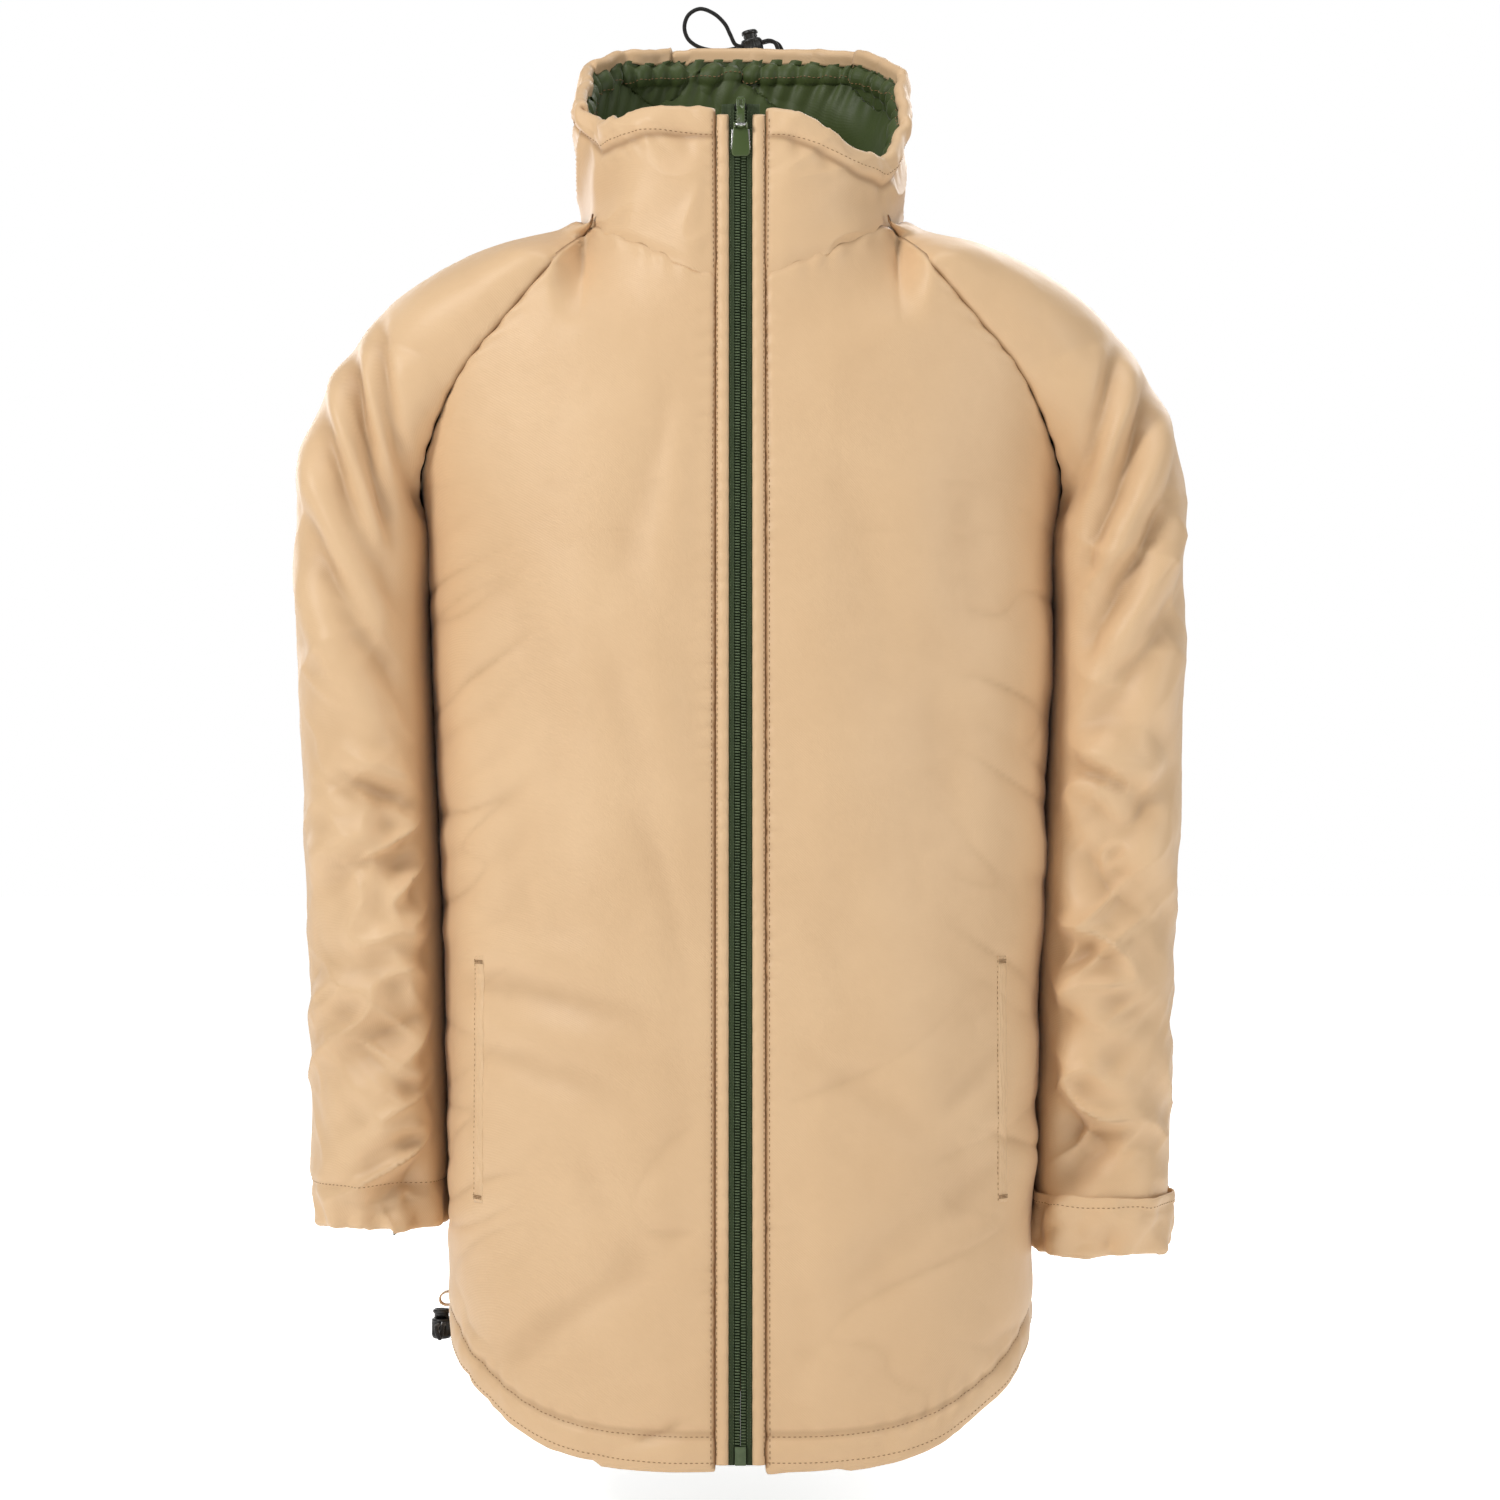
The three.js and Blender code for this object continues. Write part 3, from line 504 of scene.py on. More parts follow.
def cloth(name, colour, shade, rough, sheen, weave=0.00042, bump=0.25):
    """Fine woven satin: a tight weave, small slubs and a slow drift of tone, darkened by painted shade in
    fold valleys and along seams.
    """
    m = Nodes(name)
    drift = m.texture("Noise", Scale=9.0, Detail=4.0, Roughness=0.55)
    tone = m.ramp(drift, "Fac", [(0.3, shade), (0.7, colour)])
    # painted shade: the per-vertex shade attribute multiplies a dark brown into the base colour
    valley = m.add("ShaderNodeAttribute", attribute_name="painted_shade")
    shade_mix = m.add("ShaderNodeMix", data_type="RGBA", blend_type="MULTIPLY")
    m.link(valley, "Fac", shade_mix, "Factor")
    m.link(tone, "Color", shade_mix, "A")
    shade_mix.inputs["B"].default_value = (0.36, 0.26, 0.18, 1)
    m.link(shade_mix, "Result", m.shader, "Base Color")
    warp = m.texture("Wave", Scale=1 / weave / 20 * 3.1416, Distortion=0.4, Detail=1.0)
    warp.bands_direction = "DIAGONAL"
    slub = m.texture("Noise", Scale=420.0, Detail=3.0)
    crinkle = m.texture("Noise", Scale=75.0, Detail=5.0, Roughness=0.6, Distortion=0.6)
    m.gloss(slub, rough - 0.07, rough + 0.09)
    fine = m.bump(warp, bump, 0.00012)
    m.link(m.bump(crinkle, 0.35, 0.0009, fine), "Normal", m.shader, "Normal")
    m.shader.inputs["Sheen Weight"].default_value = sheen
    m.shader.inputs["Sheen Roughness"].default_value = 0.4
    m.shader.inputs["Specular IOR Level"].default_value = 0.35
    return m.material


def hard(name, colour, shade, rough, metal=0.0, coat=0.0):
    """Moulded plastic, enamel or metal with fine grain and uneven gloss."""
    m = Nodes(name)
    spots = m.texture("Noise", Scale=180.0, Detail=4.0)
    tone = m.ramp(spots, "Fac", [(0.35, shade), (0.65, colour)])
    m.link(tone, "Color", m.shader, "Base Color")
    m.gloss(spots, rough - 0.08, rough + 0.12)
    m.link(m.bump(spots, 0.12, 0.0002), "Normal", m.shader, "Normal")
    m.shader.inputs["Metallic"].default_value = metal
    m.shader.inputs["Coat Weight"].default_value = coat
    return m.material


def enamel(name):
    """Green enamel worn through to bright metal along its edges."""
    m = Nodes(name)
    shape = m.add("ShaderNodeNewGeometry")
    chips = m.texture("Noise", Scale=900.0, Detail=4.0)
    edge = m.add("ShaderNodeMath", operation="MULTIPLY_ADD")
    m.link(chips, "Fac", edge, 0)
    edge.inputs[1].default_value = 0.10
    m.link(shape, "Pointiness", edge, 2)
    wear = m.ramp(edge, "Value", [(0.615, (0, 0, 0)), (0.66, (1, 1, 1))])
    mix = m.add("ShaderNodeMix", data_type="RGBA")
    mix.inputs["A"].default_value = (0.055, 0.085, 0.022, 1)
    mix.inputs["B"].default_value = (0.62, 0.62, 0.58, 1)
    m.link(wear, "Color", mix, "Factor")
    m.link(mix, "Result", m.shader, "Base Color")
    m.link(wear, "Color", m.shader, "Metallic")
    m.shader.inputs["Roughness"].default_value = 0.34
    m.shader.inputs["Coat Weight"].default_value = 0.25
    return m.material


TAN = cloth("tan_satin", (0.70, 0.485, 0.285), (0.645, 0.435, 0.248), 0.47, 0.12)
LINING = cloth("green_lining", (0.064, 0.090, 0.022), (0.042, 0.064, 0.015), 0.52, 0.15)
TAPE = cloth("zip_tape", (0.036, 0.055, 0.020), (0.026, 0.040, 0.014), 0.8, 0.2, weave=0.0007, bump=0.7)
CORD = cloth("black_cord", (0.012, 0.012, 0.012), (0.005, 0.005, 0.005), 0.65, 0.3, weave=0.0006, bump=0.9)
CHAIN = hard("zip_chain", (0.085, 0.120, 0.055), (0.055, 0.082, 0.034), 0.42)
PLASTIC = hard("black_plastic", (0.016, 0.016, 0.015), (0.008, 0.008, 0.008), 0.38, coat=0.1)
STEEL = hard("spring_steel", (0.6, 0.6, 0.6), (0.45, 0.45, 0.46), 0.28, metal=1.0)
THREAD = cloth("tan_thread", (0.33, 0.19, 0.085), (0.25, 0.14, 0.06), 0.7, 0.2, weave=0.0003)
ENAMEL = enamel("green_enamel")


def finish_piece(obj, material, body, replaces=()):
    """Gives a piece its material, slot and body, and hides the CAD nodes that it stands for, padding
    included.
    """
    obj.data.materials.clear()
    obj.data.materials.append(material)
    if body:
        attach(obj, body)
    if replaces:
        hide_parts(*replaces)


# ---- Camera, lights and floor ---------------------------------------------------------------
def by_ray(tree, for_light, for_camera, socket):
    """Gives a strength one value for the camera's rays and another for the light's."""
    path = tree.nodes.new("ShaderNodeLightPath")
    level = tree.nodes.new("ShaderNodeMapRange")
    level.inputs["To Min"].default_value = for_light
    level.inputs["To Max"].default_value = for_camera
    tree.links.new(path.outputs["Is Camera Ray"], level.inputs["Value"])
    tree.links.new(level.outputs["Result"], socket)


def studio():
    """The camera opposite the zip, five lamps, a pale world and a pale floor."""
    camera_data = bpy.data.cameras.new("camera")
    camera = bpy.data.objects.new("camera", camera_data)
    camera.location = (0.0057, -2.3, -0.340)
    camera.rotation_euler = (math.pi / 2, 0, 0)
    camera_data.sensor_width = 36
    camera_data.lens = 86.9
    bpy.context.scene.collection.objects.link(camera)
    bpy.context.scene.camera = camera
    bpy.context.scene.view_settings.view_transform = "Standard"
    bpy.context.scene.view_settings.exposure = 0.0

    lights = [  # name, place, size, watts, colour
        ("key", (-1.6, -1.5, 0.9), 0.6, 33, (1.0, 0.985, 0.965)),
        ("fill", (1.8, -1.3, 0.3), 0.8, 11.5, (1.0, 0.99, 0.98)),
        ("top", (0.0, -0.4, 1.8), 0.8, 13, (1, 1, 1)),
        ("rim", (0.9, 1.7, 0.9), 1.2, 22, (1, 1, 1)),
        ("back", (-1.2, 1.9, 0.3), 1.2, 16, (1, 1, 1)),
    ]
    for name, place, size, watts, colour in lights:
        data = bpy.data.lights.new(name, "AREA")
        data.size = size
        data.energy = watts
        data.color = colour
        light = bpy.data.objects.new(name, data)
        light.location = place
        aim = Vector((0, 0, -0.35)) - light.location
        light.rotation_euler = aim.to_track_quat("-Z", "Y").to_euler()
        bpy.context.scene.collection.objects.link(light)

    world = bpy.data.worlds.new("studio")
    world.use_nodes = True
    background = world.node_tree.nodes["Background"]
    background.inputs["Color"].default_value = (1, 1, 1, 1)
    by_ray(world.node_tree, 0.24, 1.0, background.inputs["Strength"])
    bpy.context.scene.world = world

    pale = Nodes("pale_floor")
    speckle = pale.add("ShaderNodeTexNoise", Scale=60.0)
    tone = pale.ramp(speckle, "Fac", [(0.4, (0.93, 0.93, 0.93)), (0.6, (0.96, 0.96, 0.96))])
    pale.link(tone, "Color", pale.shader, "Base Color")
    pale.shader.inputs["Roughness"].default_value = 0.9
    pale.shader.inputs["Emission Color"].default_value = (1, 1, 1, 1)
    by_ray(pale.tree, 0.30, 0.84, pale.shader.inputs["Emission Strength"])
    corners = [(-9, -9, FLOOR), (9, -9, FLOOR), (9, 9, FLOOR), (-9, 9, FLOOR)]
    floor = mesh_object("floor", corners, [(0, 1, 2, 3)])
    floor.data.materials.append(pale.material)


studio()


# ---- Cords and their locks ------------------------------------------------------------------
def round_cord(name, line, radius):
    """A round cord along a line, as a curve of one open spline."""
    data = bpy.data.curves.new(name, "CURVE")
    data.dimensions = "3D"
    data.bevel_depth = radius
    data.bevel_resolution = 5
    data.use_fill_caps = True
    spline = data.splines.new("POLY")
    spline.points.add(len(line) - 1)
    for point, place in zip(spline.points, line):
        point.co = (*place, 1)
    obj = bpy.data.objects.new(name, data)
    bpy.context.scene.collection.objects.link(obj)
    return obj


CORD_WIDTH = 0.0027
NAPE_ROUTE = [
    (0.016, 0.0844, 0.112), (0.0164, 0.0896, 0.112), (0.0205, 0.0916, 0.1146), (0.024, 0.0918, 0.1205),
    (0.0226, 0.0917, 0.1266), (0.0185, 0.0916, 0.1286), (0.0138, 0.0916, 0.1277), (0.007, 0.0916, 0.1263),
    (0.0002, 0.0916, 0.1248), (-0.0042, 0.0912, 0.1262), (-0.0072, 0.0906, 0.132), (-0.011, 0.0903, 0.1394),
    (-0.018, 0.0902, 0.146), (-0.027, 0.0904, 0.1493), (-0.0346, 0.0908, 0.1456), (-0.0376, 0.0914, 0.138),
    (-0.0356, 0.0924, 0.1304), (-0.0296, 0.0934, 0.1254), (-0.021, 0.0942, 0.1229), (-0.011, 0.0947, 0.1228),
    (-0.0046, 0.0948, 0.1238), (0.0002, 0.0948, 0.1248), (0.007, 0.0948, 0.1263), (0.0138, 0.0948, 0.1277),
    (0.0195, 0.095, 0.1287), (0.0248, 0.0954, 0.1264), (0.0274, 0.096, 0.12), (0.0246, 0.0964, 0.113),
    (0.0176, 0.0956, 0.1094), (0.0106, 0.0928, 0.1106), (0.009, 0.089, 0.112), (0.009, 0.0844, 0.112),
]
HEM_ROUTE = [
    (-0.1806, 0.012, -0.704), (-0.1864, 0.0118, -0.704), (-0.1886, 0.0086, -0.704), (-0.1886, 0.0, -0.704),
    (-0.1886, -0.008, -0.704), (-0.1888, -0.013, -0.706), (-0.1898, -0.0166, -0.711),
    (-0.1912, -0.0186, -0.708), (-0.1922, -0.016, -0.7046), (-0.192, -0.012, -0.704),
    (-0.1918, -0.008, -0.704), (-0.1918, 0.0, -0.704), (-0.1918, 0.010, -0.704), (-0.1912, 0.016, -0.704),
    (-0.1884, 0.0196, -0.704), (-0.1846, 0.020, -0.704), (-0.1806, 0.020, -0.704),
]
for cord_name, route in [("nape_cord", NAPE_ROUTE), ("hem_cord", HEM_ROUTE)]:
    cord_line = along(route, 400)
    cord = round_cord(cord_name + "_elastic", cord_line, CORD_WIDTH / 2)
    finish_piece(cord, CORD, "root", [cord_name])


def lathe(name, profile, sides, squash=1.0, ribs=0, rib_depth=0.0, rib_range=(0, 0)):
    """A solid of revolution about Z; `ribs` fine flutes run up its side between two heights."""
    rows = []
    for r, z in profile:
        ring = []
        for i in range(sides):
            t = 2 * math.pi * i / sides
            fluted = ribs and rib_range[0] <= z <= rib_range[1]
            rr = r - (rib_depth * (0.5 + 0.5 * math.cos(ribs * t)) if fluted else 0)
            ring.append((rr * math.cos(t), rr * math.sin(t) * squash, z))
        rows.append(ring)
    points = [p for ring in rows for p in ring]
    faces = []
    for j in range(len(rows) - 1):
        for i in range(sides):
            k = (i + 1) % sides
            faces.append((j * sides + i, j * sides + k, (j + 1) * sides + k, (j + 1) * sides + i))
    faces.append(tuple(range(sides))[::-1])
    top = (len(rows) - 1) * sides
    faces.append(tuple(top + i for i in range(sides)))
    return mesh_object(name, points, faces)


def cut(target, cutter):
    """Cuts one mesh object out of another and throws the cutter away."""
    modifier = target.modifiers.new("cut", "BOOLEAN")
    modifier.object = cutter
    modifier.solver = "EXACT"
    apply_modifiers(target)
    bpy.data.objects.remove(cutter)


def soft_box(name, low, high, bevel):
    """A box with rounded edges between two corners."""
    (x0, y0, z0), (x1, y1, z1) = low, high
    corners = [(x0, y0), (x1, y0), (x1, y1), (x0, y1)]
    points = [(x, y, z) for z in (z0, z1) for x, y in corners]
    faces = [(0, 3, 2, 1), (4, 5, 6, 7), (0, 1, 5, 4), (1, 2, 6, 5), (2, 3, 7, 6), (3, 0, 4, 7)]
    obj = mesh_object(name, points, faces, smooth=False)
    round_edges(obj, bevel)
    return obj


def apply_modifiers(obj):
    depsgraph = bpy.context.evaluated_depsgraph_get()
    mesh = bpy.data.meshes.new_from_object(obj.evaluated_get(depsgraph))
    obj.modifiers.clear()
    obj.data = mesh


def round_edges(obj, width):
    modifier = obj.modifiers.new("round", "BEVEL")
    modifier.width = width
    modifier.segments = 3
    modifier.limit_method = "ANGLE"
    modifier.angle_limit = 0.5
    apply_modifiers(obj)
    obj.data.shade_smooth()


def moved_to(place, angle, axis):
    return Matrix.Translation(place) @ Matrix.Rotation(angle, 4, axis)


def placed(obj, matrix):
    obj.data.transform(matrix)
    obj.data.update()


def cord_lock(name, body, matrix):
    """A spring cord lock: a fluted barrel with a rounded foot, and its plunger."""
    barrel = lathe(name + "_lock_shell", [
        (0.0046, 0.0), (0.0060, 0.0003), (0.0067, 0.0012), (0.0070, 0.0026), (0.0070, 0.0028),
        (0.0070, 0.0108), (0.0070, 0.0110), (0.0070, 0.0119), (0.0066, 0.0127), (0.0058, 0.0130),
        (0.0051, 0.0129), (0.0049, 0.0124), (0.0049, 0.0024), (0.0044, 0.0022),
    ], sides=96, squash=0.886, ribs=24, rib_depth=0.0005, rib_range=(0.0027, 0.0109))
    plunger = lathe(name + "_lock_button", [
        (0.0040, 0.0062), (0.0046, 0.0066), (0.0046, 0.0158), (0.0047, 0.0162), (0.0053, 0.0163),
        (0.0055, 0.0167), (0.0055, 0.0176), (0.0053, 0.0182), (0.0046, 0.0187), (0.0036, 0.0188),
        (0.0030, 0.0185), (0.0012, 0.0184),
    ], sides=64)
    parts = [(barrel, body, "barrel", 0.01115), (plunger, body + "_button", "plunger", 0.01415)]
    for piece, rider, node, window_top in parts:
        window = soft_box("window", (-0.02, -0.0032, 0.00785), (0.02, 0.0032, window_top), 0.0009)
        cut(piece, window)
        placed(piece, matrix)
        finish_piece(piece, PLASTIC, rider, [f"{name}_lock_{node}"])


cord_lock("nape", "nape_lock", moved_to((0.009, 0.0932, 0.117), math.radians(-12), "Y"))
cord_lock("hem", "hem_lock", moved_to((-0.1902, 0, -0.7135), math.pi / 2, "Z"))


# ---- Folds ----------------------------------------------------------------------------------
def pucker(distance, run, depth, period, reach, seed):
    """A stitched line: a groove where distance is 0, with small folds crossing it."""
    wobble = noise(np.stack([run * 0 + seed, run, run * 0], axis=-1), 3 * period, 2)
    gather = np.cos(2 * math.pi * (run / period + 0.55 * wobble))
    groove = -depth * np.exp(-((distance / (0.28 * reach)) ** 2))
    return groove + 0.42 * depth * (0.6 + 0.7 * wobble) * gather * np.exp(-((distance / reach) ** 2))


def rumple(x, z, size, slant, seed, stretch=2.6, power=0.75):
    """Rounded puffs between sharp valleys that run across at a slant."""
    a = x * math.cos(slant) + z * math.sin(slant)
    b = -x * math.sin(slant) + z * math.cos(slant)
    points = np.stack([a / stretch, b, np.full_like(a, seed)], axis=-1)
    bend = noise(points[..., [1, 0, 2]] + 3.1, 2.2 * size, 1)
    points[..., 1] += 0.35 * size * bend
    return np.minimum(1.0, 2.0 * np.abs(noise(points, size, 2))) ** power


# Each fold's two ends (x, z, x, z), its width and its depth, in mm.
BODY_FOLDS = {
    1: [
        (60, -160, 100, -340, 20, 2.2), (150, -200, 100, -450, 24, 2.6),
        (40, -520, 150, -600, 15, 2.2), (172, -510, 120, -560, 10, 2.2), (176, -570, 130, -620, 10, 2),
        (60, -660, 150, -600, 16, 2.2), (120, -280, 140, -520, 22, 2.2),
    ],
    -1: [
        (-40, -120, -75, -240, 12, 1.8), (-150, -210, -105, -400, 24, 2.6),
        (-170, -475, -60, -500, 12, 3.2), (-165, -520, -70, -545, 12, 2.6),
        (-155, -715, -40, -630, 13, 3.4), (-85, -270, -45, -420, 16, 2.4),
        (-60, -380, -30, -480, 12, 1.8), (-150, -300, -130, -500, 22, 2.4),
        (-100, -580, -50, -680, 16, 2.2),
    ],
    0: [
        (-90, -180, 20, -260, 20, 3), (100, -170, 30, -280, 20, 2.8), (-120, -500, 60, -530, 16, 3),
        (130, -470, 0, -500, 16, 2.6), (120, -620, 0, -670, 18, 2.6), (-100, -300, -60, -460, 22, 2.2),
    ],
}
SLEEVE_FOLDS = {  # on the sleeve's front, with x counted outwards from the body's middle
    1: [
        (262, -110, 205, -235, 8.5, 7), (276, -165, 207, -285, 9, 6.2), (238, -85, 204, -190, 7, 4.2),
        (279, -235, 214, -330, 11, 4.8), (200, -345, 255, -375, 9, 5.8),
        (272, -350, 225, -410, 10, 4.6),
    ],
    -1: [
        (250, -85, 203, -235, 7, 7.2), (268, -125, 205, -262, 10, 6.8), (277, -190, 207, -310, 11, 6),
        (228, -75, 202, -190, 6, 4), (203, -372, 252, -358, 8, 6.2), (206, -395, 262, -425, 9, 5),
    ],
}
BACK_SLEEVE_FOLDS = [
    (255, -100, 206, -230, 9, 5.8), (276, -180, 208, -290, 11, 5), (279, -320, 212, -385, 11, 4.6),
]


def body_folds(grid, side, seed):
    """How far each point of a body panel stands in or out, apart from its seams."""
    x, z = grid[..., 0], grid[..., 2]
    rise = sum(crease(x, z, fold) for fold in BODY_FOLDS[side])
    broad = noise(grid * [1, 0.4, 0.30] + seed, 0.055, 2)
    small = noise(grid * [1, 0.4, 0.8] + 2 * seed, 0.020, 3)
    calm = ease(-0.02, -0.14, z)
    low = ease(-0.44, -0.62, z)
    rise = rise + 0.0026 * broad * (0.35 + 0.65 * calm) + 0.0005 * small
    rise = rise + 0.0034 * low * (rumple(x, z, 0.055, 0.35, seed, 3.2) - 0.55)
    edge = ease(0.115, 0.17, np.abs(x)) * ease(-0.15, -0.30, z)
    return rise + 0.0030 * edge * (rumple(x, z, 0.030, -0.55 * np.sign(seed), seed + 3) - 0.55)


def sleeve_folds(grid, side, run):
    """How far each point of a sleeve stands in or out; `run` is the distance round it."""
    flank = ease(0.010, 0.075, np.abs(run))
    x, z = np.abs(grid[..., 0]), grid[..., 2]
    face = grid[..., 1] / 0.03
    front = ease(0.5, -0.6, face)
    rise = 1.5 * front * sum(crease(x, z, fold) for fold in SLEEVE_FOLDS[side])
    rise = rise + 1.5 * (1 - front) * sum(crease(x, z, fold) for fold in BACK_SLEEVE_FOLDS)
    low = ease(-0.30, -0.40, z)
    mid = ease(-0.12, -0.22, z)
    inner = ease(0.262, 0.215, x)
    outer = ease(0.262, 0.278, x)
    rise = rise * (0.12 + 0.88 * flank)
    strong = ((0.0056 + 0.0164 * inner) * low + 0.0050 * mid * (1 - low)) * (1 - 0.6 * outer)
    rise = rise + strong * (0.45 - rumple(run, z, 0.047, -0.5, 5.0 * side, 2.2, 0.85))
    rise = rise + 0.30 * strong * (0.45 - rumple(run, z, 0.026, 0.75, 9.0 * side, 2.0, 0.85))
    rise = rise + 0.0016 * noise(grid * [1, 1, 0.5] + 4.0 * side, 0.045, 2)
    return rise + 0.0004 * noise(grid, 0.012, 2)


def moved(grid, normals, rise):
    return grid + normals * rise[..., None]


def lining_of(name, grid, normals):
    """A panel's dark inner face: the same form, further in and a little slacker."""
    g, n = grid[::2, ::2], normals[::2, ::2]
    slack = 0.0007 * rumple(g[..., 0], g[..., 2], 0.022, 0.2, 3.0)
    inner = sheet_object(name + "_lining_face", g - n * (LOFT + slack)[..., None], n, LINING_SKIN)
    finish_piece(inner, LINING, "root", [name + "_lining"])


# ---- Stitches -------------------------------------------------------------------------------
def stitches(name, line, normals, body, pitch=0.0032, length=0.0021, radius=0.00028, material=THREAD):
    """A row of thread stitches along a line on the cloth, each sunk at both ends."""
    run = travelled(line)
    count = int(run[-1] / pitch)
    starts = (np.arange(count) + 0.25) * pitch
    points, faces = [], []
    sides = 5
    profile = [(0.0, 0.25, -0.6), (0.25, 0.9, 0.25), (0.5, 1.0, 0.45), (0.75, 0.9, 0.25), (1.0, 0.25, -0.6)]
    for start in starts:
        base = len(points)
        at = start + np.array([p[0] for p in profile]) * length
        centre = np.stack([np.interp(at, run, line[:, k]) for k in range(3)], axis=1)
        normal = np.array([np.interp(start, run, normals[:, k]) for k in range(3)])
        normal /= np.linalg.norm(normal)
        along_line = centre[-1] - centre[0]
        along_line /= np.linalg.norm(along_line)
        across = np.cross(along_line, normal)
        for (_, r, lift), c in zip(profile, centre):
            for i in range(sides):
                t = 2 * math.pi * i / sides
                points.append(
                    c + normal * (lift + r * math.sin(t)) * radius + across * r * math.cos(t) * radius
                )
        for j in range(len(profile) - 1):
            for i in range(sides):
                a, b = base + j * sides + i, base + j * sides + (i + 1) % sides
                faces.append((a, b, b + sides, a + sides))
        faces.append(tuple(base + i for i in range(sides))[::-1])
        faces.append(tuple(base + (len(profile) - 1) * sides + i for i in range(sides)))
    finish_piece(mesh_object(name, points, faces), material, body)


# ---- The body's panels ----------------------------------------------------------------------
HEM_STITCH = 0.019
RAGLAN_REACH = 0.010


def hem_rise(run, below):
    """The hem's tunnel: a stitched line a little above the edge, gathered along it."""
    tunnel = pucker(below - HEM_STITCH, run, 0.0014, 0.016, 0.010, 2.0)
    swell = 0.0012 * np.exp(-(((below - 0.009) / 0.008) ** 2))
    waves = 0.0010 * noise(np.stack([run, run * 0, run * 0 + 4], axis=-1), 0.017, 2)
    return tunnel + swell + waves * ease(0.032, 0.004, below)


def seam_dip(distance, run, depth, seed=5.0):
    """A seam: its groove and the small gathers beside it."""
    return pucker(distance, run, depth, 0.019, RAGLAN_REACH, seed)


def body_panel(side, rows, columns):
    """One front (side 1 or -1) or the back (0): outer cloth, lining and stitches."""
    front_side = side != 0
    grid = body_grid(side, front_side, rows, columns)
    outward = [0, -1 if front_side else 1, 0]
    normals = normals_of(grid, outward)
    run_up, run_across = lengths(grid, 0), lengths(grid, 1)
    edge_far = run_across[:, -1:] - run_across
    top = run_up[-1:, :] - run_up
    edge_near = (0.002, 0.030) if front_side else (0.0, 0.020)
    fade = ease(*edge_near, run_across) * ease(0.0, 0.020, edge_far) * ease(0.0, 0.03, top)
    rise = body_folds(grid, side, 1.7 * side + 0.6) * fade
    rise = rise + hem_rise(run_across, run_up)
    above_armpit = ease(ARMPIT - 0.01, ARMPIT + 0.02, grid[..., 2])
    rise = rise + seam_dip(edge_far, run_up, 0.0020) * above_armpit
    rise = rise + seam_dip(edge_far, run_up, 0.0006) * (1 - above_armpit)
    if front_side:
        rise = rise + pucker(run_across, run_up, 0.0020, 0.0125, 0.009, 7.0 + side)
    else:
        rise = rise + seam_dip(run_across, run_up, 0.0020) * above_armpit
    rise = rise + seam_dip(top, run_across, 0.0026, 8.0)
    grid = moved(grid, normals, rise)
    normals = normals_of(grid, outward)
    name = {1: "front_left", -1: "front_right", 0: "back"}[side]
    outer = sheet_object(name + "_panel", *with_roll(grid, normals))
    # painted shade along the seams, the zip edge and the hem's stitch line
    seam_shade = line_at(edge_far) * above_armpit + line_at(top) + 0.45 * line_at(run_up - HEM_STITCH)
    seam_shade = seam_shade + (line_at(run_across) if front_side else line_at(run_across) * above_armpit)
    paint_shade(outer, np.maximum(fold_shade(rise), np.minimum(seam_shade, 1)), ROLL_ROWS)
    finish_piece(outer, TAN, "root", [name + "_shell", name + "_wadding"])
    lining_of(name, grid[5:-7], normals[5:-7])
    for label, rows_up in [("hem_stitches", HEM_STITCH), ("hem_edge_stitches", 0.0022)]:
        j = int(np.argmin(np.abs(run_up[:, columns // 2] - rows_up)))
        stitches(f"{name}_{label}", grid[j], normals[j], "root")
    if front_side:
        stitches(name + "_zip_stitches", grid[:, 1], normals[:, 1], "root", 0.0036, 0.0024)
    return grid, normals


def with_roll(grid, normals, edge=0, inside=0.016):
    """The grid with its edge rolled to the inside, and normals to match."""
    whole = rolled(grid, normals, edge, LOFT / 2, inside)
    outward = np.zeros_like(whole)
    added = len(whole) - len(grid)
    if edge == 0:
        outward[added:] = normals
    else:
        outward[:-added] = normals
    return whole, normals_of(whole, outward)


front_left, front_left_normals = body_panel(1, 300, 96)
front_right, front_right_normals = body_panel(-1, 300, 96)
back, back_normals = body_panel(0, 290, 150)


def nearest(grid, normals, x, z, count=6):
    """The place and normal on a panel, seen from the front, at x and z."""
    flat = grid.reshape(-1, 3)
    distance = np.hypot(flat[:, 0] - x, flat[:, 2] - z)
    near = np.argpartition(distance, count)[:count]
    weight = 1 / (distance[near] + 1e-5)
    weight /= weight.sum()
    normal = weight @ normals.reshape(-1, 3)[near]
    place = weight @ flat[near]
    return np.array([x, place[1], z]), normal / np.linalg.norm(normal)


